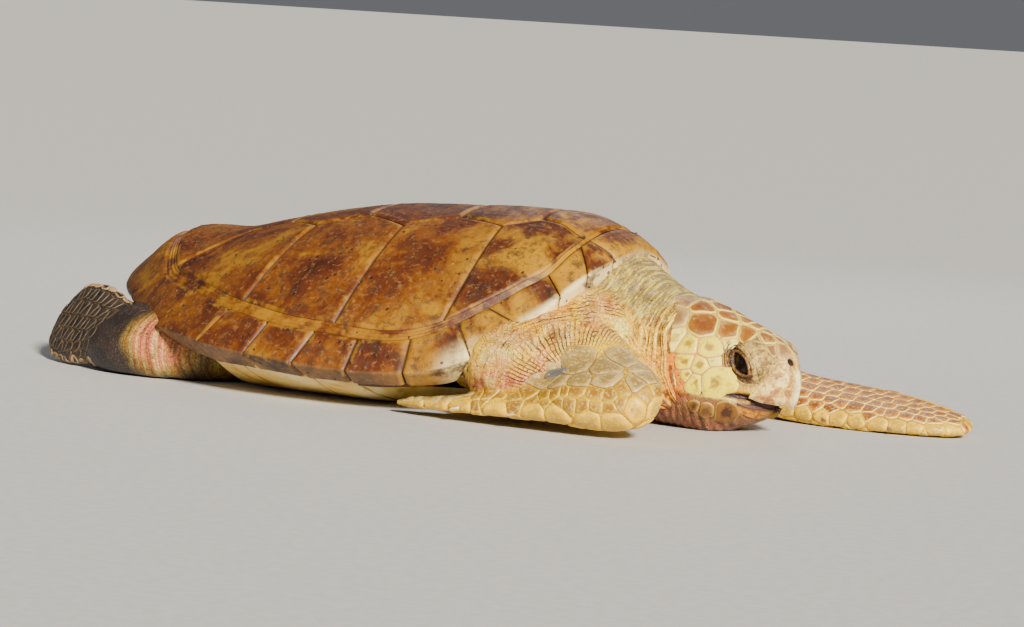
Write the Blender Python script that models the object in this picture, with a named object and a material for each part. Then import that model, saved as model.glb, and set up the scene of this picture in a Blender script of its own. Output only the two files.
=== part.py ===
"""A life-size loggerhead turtle, resting on its plastron with its chin and all four flippers on the floor.

Row frame, in metres: +X is towards the head, +Y is the turtle's left, +Z is up, and the origin is the middle
of the plastron's flat underside. The shells are thick sheets worked out from the shell's plan and height
curves; neck, head, limbs and tail are lofts along a spine. Pieces that meet are cut by a slightly grown copy
of their neighbour, which leaves the clearance GAP between them.
"""

import math

import bmesh
import bpy
import numpy as np

# ---------------------------------------------------------------- driving dimensions
SHELL_LENGTH = 0.92  # straight length of the carapace
SHELL_HALF_WIDTH = 0.35
CREST_HEIGHT = 0.305  # highest point of the carapace above the floor
SHELL_THICKNESS = 0.014
GAP = 0.0004  # clearance between two pieces that meet
SHARP_GAP = 0.0007  # the same beside the shells, whose sharp rims grow less than their faces
SHORTEST = 0.0006  # the shells' edges that are shorter than this are joined up after a cut

# Curves along the shell as (share of its length from the front, value).
PLAN = [(0, 0.10), (0.008, 0.29), (0.03, 0.50), (0.07, 0.67), (0.13, 0.81), (0.22, 0.925), (0.34, 0.99),
        (0.46, 1.0), (0.58, 0.957), (0.70, 0.843), (0.80, 0.67), (0.90, 0.415), (0.97, 0.215), (1, 0.06)]
RIM_HEIGHT = [(0, 0.250), (0.03, 0.198), (0.07, 0.145), (0.13, 0.095), (0.22, 0.066), (0.34, 0.060),
              (0.5, 0.066), (0.66, 0.076), (0.8, 0.091), (0.92, 0.117), (1, 0.131)]
CREST = [(0, 0.852), (0.05, 0.939), (0.12, 1.0), (0.2, 1.0), (0.3, 0.980), (0.42, 0.961), (0.55, 0.908),
         (0.68, 0.818), (0.78, 0.754), (0.84, 0.750), (0.89, 0.713), (0.94, 0.600), (1, 0.457)]
DOME_POWER = 2.15  # the dome's cross-section is 1 - |y| ** DOME_POWER
RIM_DROP = [(0, 0.014), (0.15, 0.022), (0.3, 0.030), (0.6, 0.028), (0.8, 0.016), (1, 0.012)]
RIM_INSET = 0.115  # how far the rim's underside runs inwards, as a share of the plan

SKIN = (0.62, 0.48, 0.22)
SHELL = (0.30, 0.13, 0.045)
BELLY = (0.72, 0.60, 0.36)
HORN = (0.55, 0.47, 0.38)
DARK = (0.02, 0.018, 0.016)
METAL = (0.05, 0.05, 0.055)


# ---------------------------------------------------------------- helpers
def curve(x, table):
    """A monotone cubic through the (x, value) pairs of table, at the numbers x."""
    px, py = (np.array(column, float) for column in zip(*table))
    h = np.diff(px)
    slope = np.diff(py) / h
    m = np.concatenate([[slope[0]], np.zeros(len(px) - 2), [slope[-1]]])
    same = slope[:-1] * slope[1:] > 0
    w1, w2 = 2 * h[1:] + h[:-1], h[1:] + 2 * h[:-1]
    before, after = np.where(same, slope[:-1], 1), np.where(same, slope[1:], 1)
    m[1:-1][same] = ((w1 + w2) / (w1 / before + w2 / after))[same]
    i = np.clip(np.searchsorted(px, x) - 1, 0, len(px) - 2)
    t = np.clip((x - px[i]) / h[i], 0, 1)
    return ((2 * t**3 - 3 * t**2 + 1) * py[i] + (t**3 - 2 * t**2 + t) * h[i] * m[i]
            + (3 * t**2 - 2 * t**3) * py[i + 1] + (t**3 - t**2) * h[i] * m[i + 1])


def stations(rows, count):
    """A smooth curve through the rows of numbers, read at count even steps (Catmull-Rom)."""
    rows = np.array(rows, float)
    padded = np.vstack([2 * rows[0] - rows[1], rows, 2 * rows[-1] - rows[-2]])
    at = np.linspace(0, len(rows) - 1, count)
    i = np.minimum(at.astype(int), len(rows) - 2)
    t = (at - i)[:, None]
    a, b, c, d = (padded[i + k] for k in range(4))
    return 0.5 * (2 * b + (c - a) * t + (2 * a - 5 * b + 4 * c - d) * t**2 + (3 * b - a - 3 * c + d) * t**3)


def material(name, colour, roughness, metallic=0.0):
    made = bpy.data.materials.get(name) or bpy.data.materials.new(name)
    made.use_nodes = True
    shader = made.node_tree.nodes["Principled BSDF"]
    shader.inputs["Base Color"].default_value = (*colour, 1)
    shader.inputs["Roughness"].default_value = roughness
    shader.inputs["Metallic"].default_value = metallic
    return made


def collection(name):
    made = bpy.data.collections.new(name)
    bpy.context.scene.collection.children.link(made)
    return made


def add_object(name, points, faces, finish):
    """A mesh object in the turtle's collection, its faces turned outwards, its round parts shaded smooth."""
    mesh = bpy.data.meshes.new(name)
    mesh.from_pydata([tuple(point) for point in points], [], [tuple(face) for face in faces])
    body = bmesh.new()
    body.from_mesh(mesh)
    bmesh.ops.remove_doubles(body, verts=body.verts, dist=1e-5)
    bmesh.ops.triangulate(body, faces=body.faces)  # so that a clearance copy has the same facets
    bmesh.ops.recalc_face_normals(body, faces=body.faces)
    body.to_mesh(mesh)
    body.free()
    mesh.shade_smooth()
    mesh.set_sharp_from_angle(angle=math.radians(50))
    mesh.materials.append(finish)
    made = bpy.data.objects.new(name, mesh)
    turtle.objects.link(made)
    return made


def thick_sheet(name, outer, inner, finish):
    """The closed body between two grids of points with the same rows and columns."""
    rows, columns = outer.shape[:2]
    index = np.arange(rows * columns).reshape(rows, columns)

    def quads(a, b, c, d):
        return np.stack([a.ravel(), b.ravel(), c.ravel(), d.ravel()], 1)

    top = quads(index[:-1, :-1], index[:-1, 1:], index[1:, 1:], index[1:, :-1])
    below = top[:, ::-1] + rows * columns
    edge = np.concatenate([index[0, :], index[1:, -1], index[-1, -2::-1], index[-2:0:-1, 0]])
    after = np.roll(edge, -1)
    rim = quads(after, edge, edge + rows * columns, after + rows * columns)
    points = np.concatenate([outer.reshape(-1, 3), inner.reshape(-1, 3)])
    return add_object(name, points, np.concatenate([top, below, rim]), finish)


def tube(name, rings, finish):
    """The closed body along rings of points, with a fan over each end."""
    count, around = rings.shape[:2]
    index = np.arange(count * around).reshape(count, around)
    a, b = index[:-1], index[1:]
    sides = np.stack([a, np.roll(a, -1, 1), np.roll(b, -1, 1), b], -1).reshape(-1, 4)
    ends = []
    for ring, centre in ((index[0], count * around), (index[-1], count * around + 1)):
        ends += [(j, i, centre) for i, j in zip(ring, np.roll(ring, -1))]
    points = np.concatenate([rings.reshape(-1, 3), rings[:1].mean(1), rings[-1:].mean(1)])
    return add_object(name, points, [*sides.tolist(), *ends], finish)


def on_floor(points, level=0.0):
    """Points below the floor are laid on it, which gives the small flats that the turtle rests on."""
    points = points.copy()
    points[..., 2] = np.maximum(points[..., 2], level)
    return points


def clearance(piece, gap=GAP):
    """A cutter: a copy of the piece, grown by the gap."""
    cutter = piece.copy()
    cutter.name = f"{piece.name}_clearance"
    for old in piece.users_collection:
        if cutter.name in old.objects:
            old.objects.unlink(cutter)
    cutters.objects.link(cutter)
    cutter.modifiers.clear()
    grow = cutter.modifiers.new("grow", "DISPLACE")
    grow.strength, grow.mid_level = gap, 0.0
    hide(cutter)
    return cutter


def hide(cutter):
    cutter.hide_render = True
    cutter.display_type = "WIRE"


def as_cutter(piece):
    """Move a finished body from the turtle to the cutters."""
    turtle.objects.unlink(piece)
    cutters.objects.link(piece)
    hide(piece)
    return piece


def settle(piece):
    """Put the result of the piece's cuts into its own mesh, so that a clearance copy has them too."""
    graph = bpy.context.evaluated_depsgraph_get()
    piece.data = bpy.data.meshes.new_from_object(piece.evaluated_get(graph))
    piece.modifiers.clear()
    return piece


def keep_largest(piece, shortest=0.0):
    """Settle the piece, and drop the slivers beside it and the shortest edges that the cuts have left."""
    body = bmesh.new()
    body.from_mesh(settle(piece).data)
    loose, parts = set(body.verts), []
    while loose:
        part, edge = set(), [loose.pop()]
        while edge:
            vert = edge.pop()
            part.add(vert)
            near = [link.other_vert(vert) for link in vert.link_edges]
            edge += [other for other in near if other in loose]
            loose.difference_update(near)
        parts.append(part)
    parts.sort(key=lambda part: np.ptp([vert.co for vert in part], axis=0).sum())
    bmesh.ops.delete(body, geom=[vert for part in parts[:-1] for vert in part], context="VERTS")
    if shortest:
        bmesh.ops.dissolve_degenerate(body, edges=body.edges, dist=shortest)
    bmesh.ops.triangulate(body, faces=body.faces)
    body.to_mesh(piece.data)
    body.free()
    return piece


def cut(piece, *others, operation="DIFFERENCE"):
    for other in others:
        boolean = piece.modifiers.new(f"clear_of_{other.name}"[:60], "BOOLEAN")
        boolean.operation, boolean.solver, boolean.object = operation, "EXACT", other


# ---------------------------------------------------------------- shells
HALF = SHELL_LENGTH / 2


def shell_share(count, first=0.0):
    """Shares of the shell's length for count stations, closer together towards both ends."""
    return (1 - np.cos(np.linspace(first, math.pi - first, count))) / 2


def dome(share, across, drop=0.0, shrink=(1.0, 1.0)):
    """Points of the carapace: share runs from front to rear and across from -1, the right rim, to 1.

    y is across times the plan's half width, and z falls from the crest to the rim as 1 - |across| ** p.
    """
    rim = curve(share, RIM_HEIGHT)
    crest = np.maximum(curve(share, CREST) * CREST_HEIGHT - drop, rim + 0.002)
    x = (HALF - share * SHELL_LENGTH) * shrink[0]
    y = across * curve(share, PLAN) * SHELL_HALF_WIDTH * shrink[1]
    z = rim + (crest - rim) * (1 - np.abs(across) ** DOME_POWER)
    return np.stack([x + 0 * y, y, z], -1)


def underside(share, across):
    """How high the rim's underside lies: from the rim it slopes down inwards by the rim's drop."""
    return curve(share, RIM_HEIGHT) - curve(share, RIM_DROP) * np.minimum((1 - np.abs(across)) / RIM_INSET, 1)


def carapace(finish):
    """The dome with its underside, hollowed out above the body."""
    share, across = shell_share(21)[:, None], np.linspace(-1, 1, 19)[None, :]
    top = dome(share, across)
    low = top.copy()
    low[..., 2] = underside(share, across)
    piece = thick_sheet("carapace", top, low, finish)
    cut(piece, as_cutter(floored("hollow", dome(*hollow_grid(), SHELL_THICKNESS, HOLLOW), -0.05, finish)))
    return keep_largest(piece, SHORTEST)


HOLLOW = (0.93, 0.90)  # the hollow's plan, as shares of the shell's length and width


def hollow_grid():
    return shell_share(14)[:, None], np.linspace(-1, 1, 10)[None, :]


PLASTRON_FRONT, PLASTRON_REAR, PLASTRON_THICKNESS = 0.335, -0.375, 0.012
PLASTRON_BEVEL = 0.004  # its inside ends this far short of its edge
LOBE_EDGE = 0.024  # the plastron's lobes turn up to this height
LOBES = [(0, 0.03), (0.03, 0.065), (0.12, 0.12), (0.26, 0.165), (0.5, 0.185), (0.72, 0.15), (0.88, 0.095),
         (0.97, 0.05), (1, 0.02)]
BRIDGE = [(0, 0), (0.15, 0), (0.30, 1), (0.62, 1), (0.76, 0), (1, 0)]  # where the plastron reaches the rim
BRIDGE_REACH = 0.925  # how far out it does so, as a share of the plan


def plastron_edge(x):
    """The plastron's half width and the height of its edge at each x."""
    share = (PLASTRON_FRONT - x) / (PLASTRON_FRONT - PLASTRON_REAR)
    shell = (HALF - x) / SHELL_LENGTH
    bridge, lobe = curve(share, BRIDGE), curve(share, LOBES)
    half = lobe + (curve(shell, PLAN) * SHELL_HALF_WIDTH * BRIDGE_REACH - lobe) * bridge
    return half, LOBE_EDGE + (underside(shell, BRIDGE_REACH) - 3 * GAP - LOBE_EDGE) * bridge


def plastron_surface(rise, inset):
    """The plastron's outside, or the surface that is rise above it in the middle and joins it at the edge."""
    share, across = shell_share(13)[:, None], np.linspace(-1, 1, 9)[None, :]
    x = PLASTRON_FRONT + (PLASTRON_REAR - PLASTRON_FRONT) * share
    half, edge = plastron_edge(x)
    z = rise + (edge - rise) * np.clip((np.abs(across) - 0.55) / 0.45, 0, 1) ** 1.6
    return np.stack([x - inset * np.sign(x) + 0 * across, across * (half - inset), z], -1)


def plastron(finish):
    sheet = plastron_surface(0.0, 0.0), plastron_surface(PLASTRON_THICKNESS, PLASTRON_BEVEL)
    return thick_sheet("plastron", *sheet, finish)


def floored(name, top, level, finish):
    """The solid between a surface and a level plane below it."""
    low = top.copy()
    low[..., 2] = level
    return thick_sheet(name, top, low, finish)


def trunk(finish):
    """The soft body: it fills the shell's hollow down to the plastron, with the clearance on all sides."""
    top = dome(*hollow_grid(), SHELL_THICKNESS, (HOLLOW[0] - GAP / HALF, HOLLOW[1] - GAP / SHELL_HALF_WIDTH))
    top[..., 2] -= 2 * GAP
    piece = floored("trunk", top, 0.010, finish)
    inside = plastron_surface(PLASTRON_THICKNESS, PLASTRON_BEVEL) + (0, 0, 2 * GAP)
    below = as_cutter(floored("below_plastron", inside, -0.05, finish))
    cut(piece, below, clearance(plastron_piece, SHARP_GAP))
    return keep_largest(piece)


# ---------------------------------------------------------------- lofts along a spine
class Spine:
    """A limb's centre line and its widths. Each row is x, y, z, width to the leading edge, width to the
    trailing edge, half thickness and tilt in degrees. side is 1 for a left limb and -1 for a right one: the
    leading edge is on the right of the way that a left limb points, and a positive tilt lowers it."""

    def __init__(self, rows, side, count):
        read = stations(rows, count)
        self.at, self.lead, self.trail, self.half = read[:, :3], read[:, 3], read[:, 4], read[:, 5]
        along = np.gradient(self.at, axis=0)
        self.along = along / np.linalg.norm(along, axis=1)[:, None]
        out = side * np.cross(self.along, (0.0, 0.0, 1.0))
        out /= np.linalg.norm(out, axis=1)[:, None]
        normal = np.cross(out, self.along)
        normal *= np.sign(normal[:, 2:3])
        tilt = np.radians(read[:, 6:7])
        self.out = out * np.cos(tilt) - normal * np.sin(tilt)
        self.normal = normal * np.cos(tilt) + out * np.sin(tilt)

    def rings(self, around, lead_swell=0.3):
        angle = np.linspace(0, 2 * math.pi, around, endpoint=False)[None, :]
        reach = np.where(np.cos(angle) > 0, self.lead[:, None], self.trail[:, None]) * np.cos(angle)
        rise = self.half[:, None] * np.sin(angle) * (1 + lead_swell * np.cos(angle))
        offset = self.out[:, None] * reach[..., None] + self.normal[:, None] * rise[..., None]
        return on_floor(self.at[:, None] + offset)

    def surface(self, share, angle, lead_swell=0.3):
        """The point at a share of the limb and an angle round it from the leading edge, with its frame: the
        ways along the limb, round it and out of it."""
        i = int(round(share * (len(self.at) - 1)))

        def at(angle):
            reach = (self.lead[i] if math.cos(angle) > 0 else self.trail[i]) * math.cos(angle)
            rise = self.half[i] * math.sin(angle) * (1 + lead_swell * math.cos(angle))
            return self.at[i] + self.out[i] * reach + self.normal[i] * rise

        point, along = at(angle), self.along[i]
        around = at(angle + 0.05) - at(angle - 0.05)
        around /= np.linalg.norm(around)
        outwards = np.cross(along, around)
        outwards *= np.sign(outwards @ (point - self.at[i]))
        return point, along, around, outwards / np.linalg.norm(outwards)


FRONT_RIGHT_ARM = [
    (0.250, -0.120, 0.095, 0.090, 0.100, 0.070, 0),
    (0.340, -0.165, 0.100, 0.090, 0.100, 0.078, 0),
    (0.430, -0.178, 0.100, 0.060, 0.095, 0.076, 0),
    (0.510, -0.200, 0.084, 0.045, 0.068, 0.056, 0),
    (0.562, -0.220, 0.072, 0.036, 0.045, 0.040, 0),
    (0.594, -0.233, 0.066, 0.022, 0.020, 0.020, 0),
]
FRONT_RIGHT_BLADE = [
    (0.630, -0.247, 0.070, 0.008, 0.008, 0.008, 40),
    (0.621, -0.250, 0.069, 0.034, 0.034, 0.025, 42),
    (0.597, -0.257, 0.066, 0.058, 0.060, 0.034, 42),
    (0.552, -0.264, 0.062, 0.062, 0.080, 0.036, 38),
    (0.500, -0.270, 0.058, 0.059, 0.090, 0.033, 33),
    (0.455, -0.273, 0.047, 0.052, 0.050, 0.022, 26),
    (0.350, -0.282, 0.030, 0.038, 0.028, 0.013, 14),
    (0.280, -0.288, 0.022, 0.024, 0.021, 0.010, 6),
    (0.232, -0.290, 0.018, 0.013, 0.014, 0.008, 0),
    (0.212, -0.290, 0.016, 0.004, 0.005, 0.004, 0),
]
FRONT_LEFT_ARM = [
    (0.25, 0.12, 0.095, 0.10, 0.09, 0.070, 0),
    (0.34, 0.165, 0.100, 0.10, 0.095, 0.080, 0),
    (0.44, 0.190, 0.096, 0.095, 0.095, 0.076, 5),
    (0.53, 0.210, 0.070, 0.082, 0.088, 0.050, 9),
    (0.60, 0.223, 0.048, 0.070, 0.080, 0.034, 11),
    (0.635, 0.226, 0.040, 0.040, 0.040, 0.018, 12),
]
FRONT_LEFT_BLADE = [
    (0.575, 0.222, 0.046, 0.020, 0.020, 0.014, 12),
    (0.600, 0.224, 0.043, 0.062, 0.070, 0.030, 12),
    (0.660, 0.226, 0.034, 0.078, 0.086, 0.027, 12),
    (0.730, 0.225, 0.029, 0.084, 0.094, 0.022, 12),
    (0.800, 0.223, 0.025, 0.080, 0.092, 0.018, 11),
    (0.866, 0.221, 0.020, 0.062, 0.076, 0.014, 10),
    (0.912, 0.220, 0.015, 0.038, 0.050, 0.011, 9),
    (0.934, 0.219, 0.011, 0.010, 0.012, 0.005, 8),
]
HIND_THIGH = [
    (-0.15, -0.11, 0.066, 0.080, 0.080, 0.050, 0),
    (-0.22, -0.17, 0.058, 0.085, 0.080, 0.060, 10),
    (-0.29, -0.200, 0.056, 0.078, 0.072, 0.052, 25),
    (-0.36, -0.192, 0.055, 0.068, 0.066, 0.034, 40),
    (-0.41, -0.175, 0.058, 0.050, 0.050, 0.018, 50),
]
HIND_PADDLE = [
    (-0.335, -0.192, 0.058, 0.018, 0.018, 0.014, 44),
    (-0.355, -0.188, 0.058, 0.055, 0.055, 0.024, 46),
    (-0.405, -0.177, 0.060, 0.070, 0.070, 0.020, 52),
    (-0.450, -0.160, 0.063, 0.076, 0.080, 0.015, 56),
    (-0.490, -0.140, 0.065, 0.070, 0.074, 0.012, 58),
    (-0.516, -0.126, 0.064, 0.050, 0.054, 0.010, 58),
    (-0.528, -0.119, 0.062, 0.012, 0.012, 0.005, 58),
]
TAIL = [
    (-0.33, 0, 0.080, 0.050, 0.050, 0.040, 0),
    (-0.40, 0, 0.068, 0.038, 0.038, 0.030, 0),
    (-0.47, 0, 0.050, 0.022, 0.022, 0.018, 0),
    (-0.515, 0, 0.038, 0.007, 0.007, 0.006, 0),
]
NECK = [
    (0.26, 0, 0.145, 0.110, 0.110, 0.090, 0),
    (0.35, 0, 0.150, 0.128, 0.128, 0.105, 0),
    (0.43, -0.002, 0.140, 0.134, 0.134, 0.115, 0),
    (0.49, -0.005, 0.120, 0.126, 0.126, 0.106, 0),
    (0.535, -0.008, 0.103, 0.117, 0.117, 0.101, 0),
    (0.565, -0.009, 0.095, 0.112, 0.112, 0.099, 0),
]


def mirrored(rows):
    """The same limb on the other side of the body."""
    return [(x, -y, *rest) for x, y, *rest in rows]


# ---------------------------------------------------------------- head
HEAD_AT = (0.500, -0.008, 0.116)  # the middle of the back of the head
HEAD_PITCH, HEAD_TURN = math.radians(7), math.radians(-3)
HEAD_LENGTH = 0.250
# Curves along the head as (distance from its back, value), in metres.
HEAD_TOP = [(0, 0.066), (0.04, 0.082), (0.07, 0.086), (0.10, 0.081), (0.13, 0.073), (0.16, 0.066),
            (0.188, 0.059), (0.208, 0.051), (0.225, 0.041), (0.237, 0.029), (0.246, 0.012), (0.250, -0.006)]
HEAD_UNDER = [(0, -0.085), (0.05, -0.112), (0.13, -0.110), (0.165, -0.092), (0.19, -0.079), (0.213, -0.070),
              (0.228, -0.060), (0.243, -0.047), (0.250, -0.028)]
HEAD_SIDE = [(0, 0.084), (0.05, 0.096), (0.10, 0.094), (0.14, 0.083), (0.18, 0.064), (0.21, 0.046),
             (0.235, 0.029), (0.247, 0.014), (0.250, 0.005)]
EYE_AT = (0.184, 0.0535, 0.015)  # forwards, to the side, up
EYE_RADIUS = 0.0215
# Outlines in the head's side view, as (forwards, up).
BELOW_MOUTH = [(0.115, -0.041), (0.180, -0.037), (0.214, -0.039), (0.234, -0.039), (0.242, -0.046),
               (0.30, -0.046), (0.30, -0.20), (0.085, -0.20), (0.085, -0.072)]
LOWER_JAW = [(0.1155, -0.0418), (0.180, -0.0378), (0.213, -0.0398), (0.227, -0.0500), (0.221, -0.061),
             (0.206, -0.078), (0.185, -0.20), (0.0858, -0.20), (0.0858, -0.0725)]
UPPER_BEAK = [(0.234, 0.020), (0.221, 0.003), (0.204, -0.012), (0.197, -0.025), (0.199, -0.0375),
              (0.214, -0.0395), (0.234, -0.0395), (0.242, -0.055), (0.30, -0.055), (0.30, 0.04),
              (0.25, 0.04), (0.240, 0.021)]


def head_point(local):
    """From the head's own frame (forwards, left, up) to the row frame."""
    u, v, w = (local[..., k] for k in range(3))
    forward = u * math.cos(HEAD_PITCH) + w * math.sin(HEAD_PITCH)
    up = w * math.cos(HEAD_PITCH) - u * math.sin(HEAD_PITCH)
    x = forward * math.cos(HEAD_TURN) - v * math.sin(HEAD_TURN)
    y = forward * math.sin(HEAD_TURN) + v * math.cos(HEAD_TURN)
    return np.stack([x + HEAD_AT[0], y + HEAD_AT[1], up + HEAD_AT[2]], -1)


def head_rings(count=16, around=20):
    """Rings from the back of the head to the tip of the beak: rounded above, squarer at the jaw."""
    u = HEAD_LENGTH * np.sin(np.linspace(0, math.pi / 2, count))[:, None]
    top, under, side = (curve(u, table) for table in (HEAD_TOP, HEAD_UNDER, HEAD_SIDE))
    angle = np.linspace(0, 2 * math.pi, around, endpoint=False)[None, :]
    sine, cosine = np.sin(angle), np.cos(angle)
    middle = under + 0.45 * (top - under)
    w = np.where(sine > 0, middle + (top - middle) * sine, middle + (middle - under) * sine)
    v = side * np.sign(cosine) * np.abs(cosine) ** np.where(sine > 0, 0.95, 0.8)
    return on_floor(head_point(np.stack([u + 0 * v, v, w], -1)))


def side_prism(name, outline):
    """A cutter across the whole head with the given outline in its side view."""
    rings = np.array([[(u, v, w) for u, w in outline] for v in (-0.13, 0.13)])
    count = len(outline)
    sides = [(i, (i + 1) % count, (i + 1) % count + count, i + count) for i in range(count)]
    cutter = add_object(name, head_point(rings).reshape(-1, 3),
                        [range(count), range(2 * count - 1, count - 1, -1), *sides], horn_finish)
    return as_cutter(cutter)


def ball(name, centre, radius, finish, segments=12, rings=8):
    body = bmesh.new()
    bmesh.ops.create_uvsphere(body, u_segments=segments, v_segments=rings, radius=radius)
    mesh = bpy.data.meshes.new(name)
    body.to_mesh(mesh)
    body.free()
    mesh.shade_smooth()
    mesh.materials.append(finish)
    made = bpy.data.objects.new(name, mesh)
    made.location = centre
    turtle.objects.link(made)
    return made


CLAW_LENGTH, CLAW_RADIUS = 0.017, 0.0048


def claw(name, spine, share, finish):
    """A curved claw on a limb's leading edge, pointing out and on towards the limb's tip."""
    root, along, normal, out = spine.surface(share, 0)
    root = root - out * 0.009
    steps = np.linspace(0, 1, 5)
    centre = root + CLAW_LENGTH * (0.8 * out * steps[:, None] + 0.7 * along * steps[:, None] ** 2)
    centre[:, 2] = np.maximum(centre[:, 2], CLAW_RADIUS + 0.001)
    angle = np.linspace(0, 2 * math.pi, 8, endpoint=False)
    ring = along * np.cos(angle)[:, None] + normal * np.sin(angle)[:, None]
    radius = CLAW_RADIUS * np.array([1.0, 0.95, 0.8, 0.5, 0.12])
    return tube(name, centre[:, None] + ring[None] * radius[:, None, None], finish)


def tag(spine, finish):
    """A plain metal tag held by a pin in the flipper's back, its far side standing off the skin."""
    point, along, around, out = spine.surface(0.5, math.radians(107))
    lean = math.radians(28)
    out, around = (out * math.cos(lean) - around * math.sin(lean), around * math.cos(lean) + out * math.sin(lean))
    angle = np.linspace(0, 2 * math.pi, 16, endpoint=False)
    rings = []
    for height, length, width in ((-0.006, 0.002, 0.002), (0.0045, 0.002, 0.002), (0.0046, 0.0185, 0.0075),
                                  (0.0064, 0.0185, 0.0075)):
        reach = [(np.sign(c) * abs(c) ** 0.5 * length, np.sign(s) * abs(s) ** 0.5 * width)
                 for c, s in zip(np.cos(angle), np.sin(angle))]
        rings.append([point + along * a + around * b + out * height for a, b in reach])
    return tube("flipper_tag", np.array(rings), finish)


# ---------------------------------------------------------------- the turtle
for old in list(bpy.data.objects):
    bpy.data.objects.remove(old)
turtle = collection("loggerhead_turtle")
cutters = collection("cutters")

shell_finish = material("shell", SHELL, 0.4)
belly_finish = material("belly", BELLY, 0.5)
skin_finish = material("skin", SKIN, 0.55)
horn_finish = material("horn", HORN, 0.4)
eye_finish = material("eye", DARK, 0.08)
tag_finish = material("tag", METAL, 0.35, 0.8)

carapace_piece = carapace(shell_finish)
plastron_piece = plastron(belly_finish)
cut(plastron_piece, clearance(carapace_piece, SHARP_GAP))
keep_largest(plastron_piece, SHORTEST)
trunk_piece = trunk(skin_finish)
head_piece = tube("head", head_rings(), skin_finish)
neck_piece = tube("neck", Spine(NECK, 1, 9).rings(18, 0.0), skin_finish)
tail_piece = tube("tail", Spine(TAIL, 1, 7).rings(12), skin_finish)

shell_clear, plastron_clear = clearance(carapace_piece, SHARP_GAP), clearance(plastron_piece, SHARP_GAP)
trunk_clear, neck_clear, head_clear = (clearance(piece) for piece in (trunk_piece, neck_piece, head_piece))
cut(neck_piece, plastron_clear, trunk_clear, shell_clear, head_clear)
cut(tail_piece, shell_clear, plastron_clear, trunk_clear)
keep_largest(neck_piece)
keep_largest(tail_piece)

# The jaws: both are the head's own shape inside their outlines, and the head gives way to them.
below_mouth = side_prism("below_mouth", BELOW_MOUTH)
beak_outline = side_prism("beak_outline", UPPER_BEAK)
for name, outline, finish in (("lower_jaw", LOWER_JAW, skin_finish), ("upper_beak", UPPER_BEAK, horn_finish)):
    jaw = tube(name, head_rings(), finish)
    cut(jaw, side_prism(f"{name}_outline", outline), operation="INTERSECT")
    keep_largest(jaw)
cut(head_piece, below_mouth, clearance(beak_outline))

for side_name, side in (("right", -1), ("left", 1)):
    centre = head_point(np.array([EYE_AT[0], side * EYE_AT[1], EYE_AT[2]]))
    eye = ball(f"eye_{side_name}", centre, EYE_RADIUS, eye_finish)
    cut(head_piece, clearance(eye))

for side_name, side, arm_rows, blade_rows, claws in (
    ("right", -1, FRONT_RIGHT_ARM, FRONT_RIGHT_BLADE, (0.6, 0.7)),
    ("left", 1, FRONT_LEFT_ARM, FRONT_LEFT_BLADE, (0.40, 0.62)),
):
    arm = tube(f"front_arm_{side_name}", Spine(arm_rows, side, 9).rings(14), skin_finish)
    spine = Spine(blade_rows, side, 15)
    blade = tube(f"front_flipper_{side_name}", spine.rings(12), skin_finish)
    cut(arm, shell_clear, plastron_clear, trunk_clear, neck_clear, head_clear)
    cut(blade, clearance(arm), trunk_clear)
    for number, share in enumerate(claws, 1):
        cut(blade, clearance(claw(f"claw_front_{side_name}_{number}", spine, share, horn_finish)))
    if side_name == "right":
        tag_clear = clearance(tag(spine, tag_finish))
        cut(arm, tag_clear)
        cut(blade, tag_clear)
    keep_largest(arm)
    keep_largest(blade)

for side_name, side in (("right", -1), ("left", 1)):
    thigh_rows, paddle_rows = HIND_THIGH, HIND_PADDLE
    if side > 0:
        thigh_rows, paddle_rows = mirrored(HIND_THIGH), mirrored(HIND_PADDLE)
    thigh = tube(f"hind_leg_{side_name}", Spine(thigh_rows, side, 8).rings(12), skin_finish)
    paddle = tube(f"hind_flipper_{side_name}", Spine(paddle_rows, side, 12).rings(12), skin_finish)
    cut(thigh, shell_clear, plastron_clear, trunk_clear)
    cut(paddle, clearance(thigh), shell_clear)
    keep_largest(thigh)
    keep_largest(paddle)
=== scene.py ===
# %% [markdown]
# # A loggerhead turtle at life size
#
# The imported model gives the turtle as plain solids: two shells, a trunk, a neck, a head, four limbs and a
# tail. This lesson dresses them. The shells become horny plates with seams between them, the flesh becomes
# one skin with folds and wrinkles, and scales, eyes, beak and claws are laid on it as pieces of their own.
# Everything is in metres in the model's frame: +X is towards the head, +Y is the turtle's left, +Z is up.

# %% The frame and its measures
import math

import bmesh
import bpy
import numpy as np
from mathutils import Matrix, Vector
from numpy import concatenate as join, stack


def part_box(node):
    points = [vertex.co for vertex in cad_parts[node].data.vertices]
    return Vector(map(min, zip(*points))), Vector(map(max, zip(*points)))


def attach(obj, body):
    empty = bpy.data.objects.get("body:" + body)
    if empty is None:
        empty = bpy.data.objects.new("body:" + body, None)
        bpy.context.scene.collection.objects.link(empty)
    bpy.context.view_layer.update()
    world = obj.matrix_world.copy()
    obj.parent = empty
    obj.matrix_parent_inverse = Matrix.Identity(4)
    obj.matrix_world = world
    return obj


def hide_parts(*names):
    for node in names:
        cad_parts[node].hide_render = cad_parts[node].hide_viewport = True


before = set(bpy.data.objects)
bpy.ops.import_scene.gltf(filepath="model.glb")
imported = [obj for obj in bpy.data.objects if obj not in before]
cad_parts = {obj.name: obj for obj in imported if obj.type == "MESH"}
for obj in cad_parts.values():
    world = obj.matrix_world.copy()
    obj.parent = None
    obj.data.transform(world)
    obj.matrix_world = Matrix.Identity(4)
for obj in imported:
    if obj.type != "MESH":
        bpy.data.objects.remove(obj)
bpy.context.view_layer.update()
shell_low, shell_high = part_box("carapace")
LENGTH = shell_high.x - shell_low.x
HALF = LENGTH / 2
HALF_WIDTH = shell_high.y
CREST_HEIGHT = shell_high.z
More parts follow.
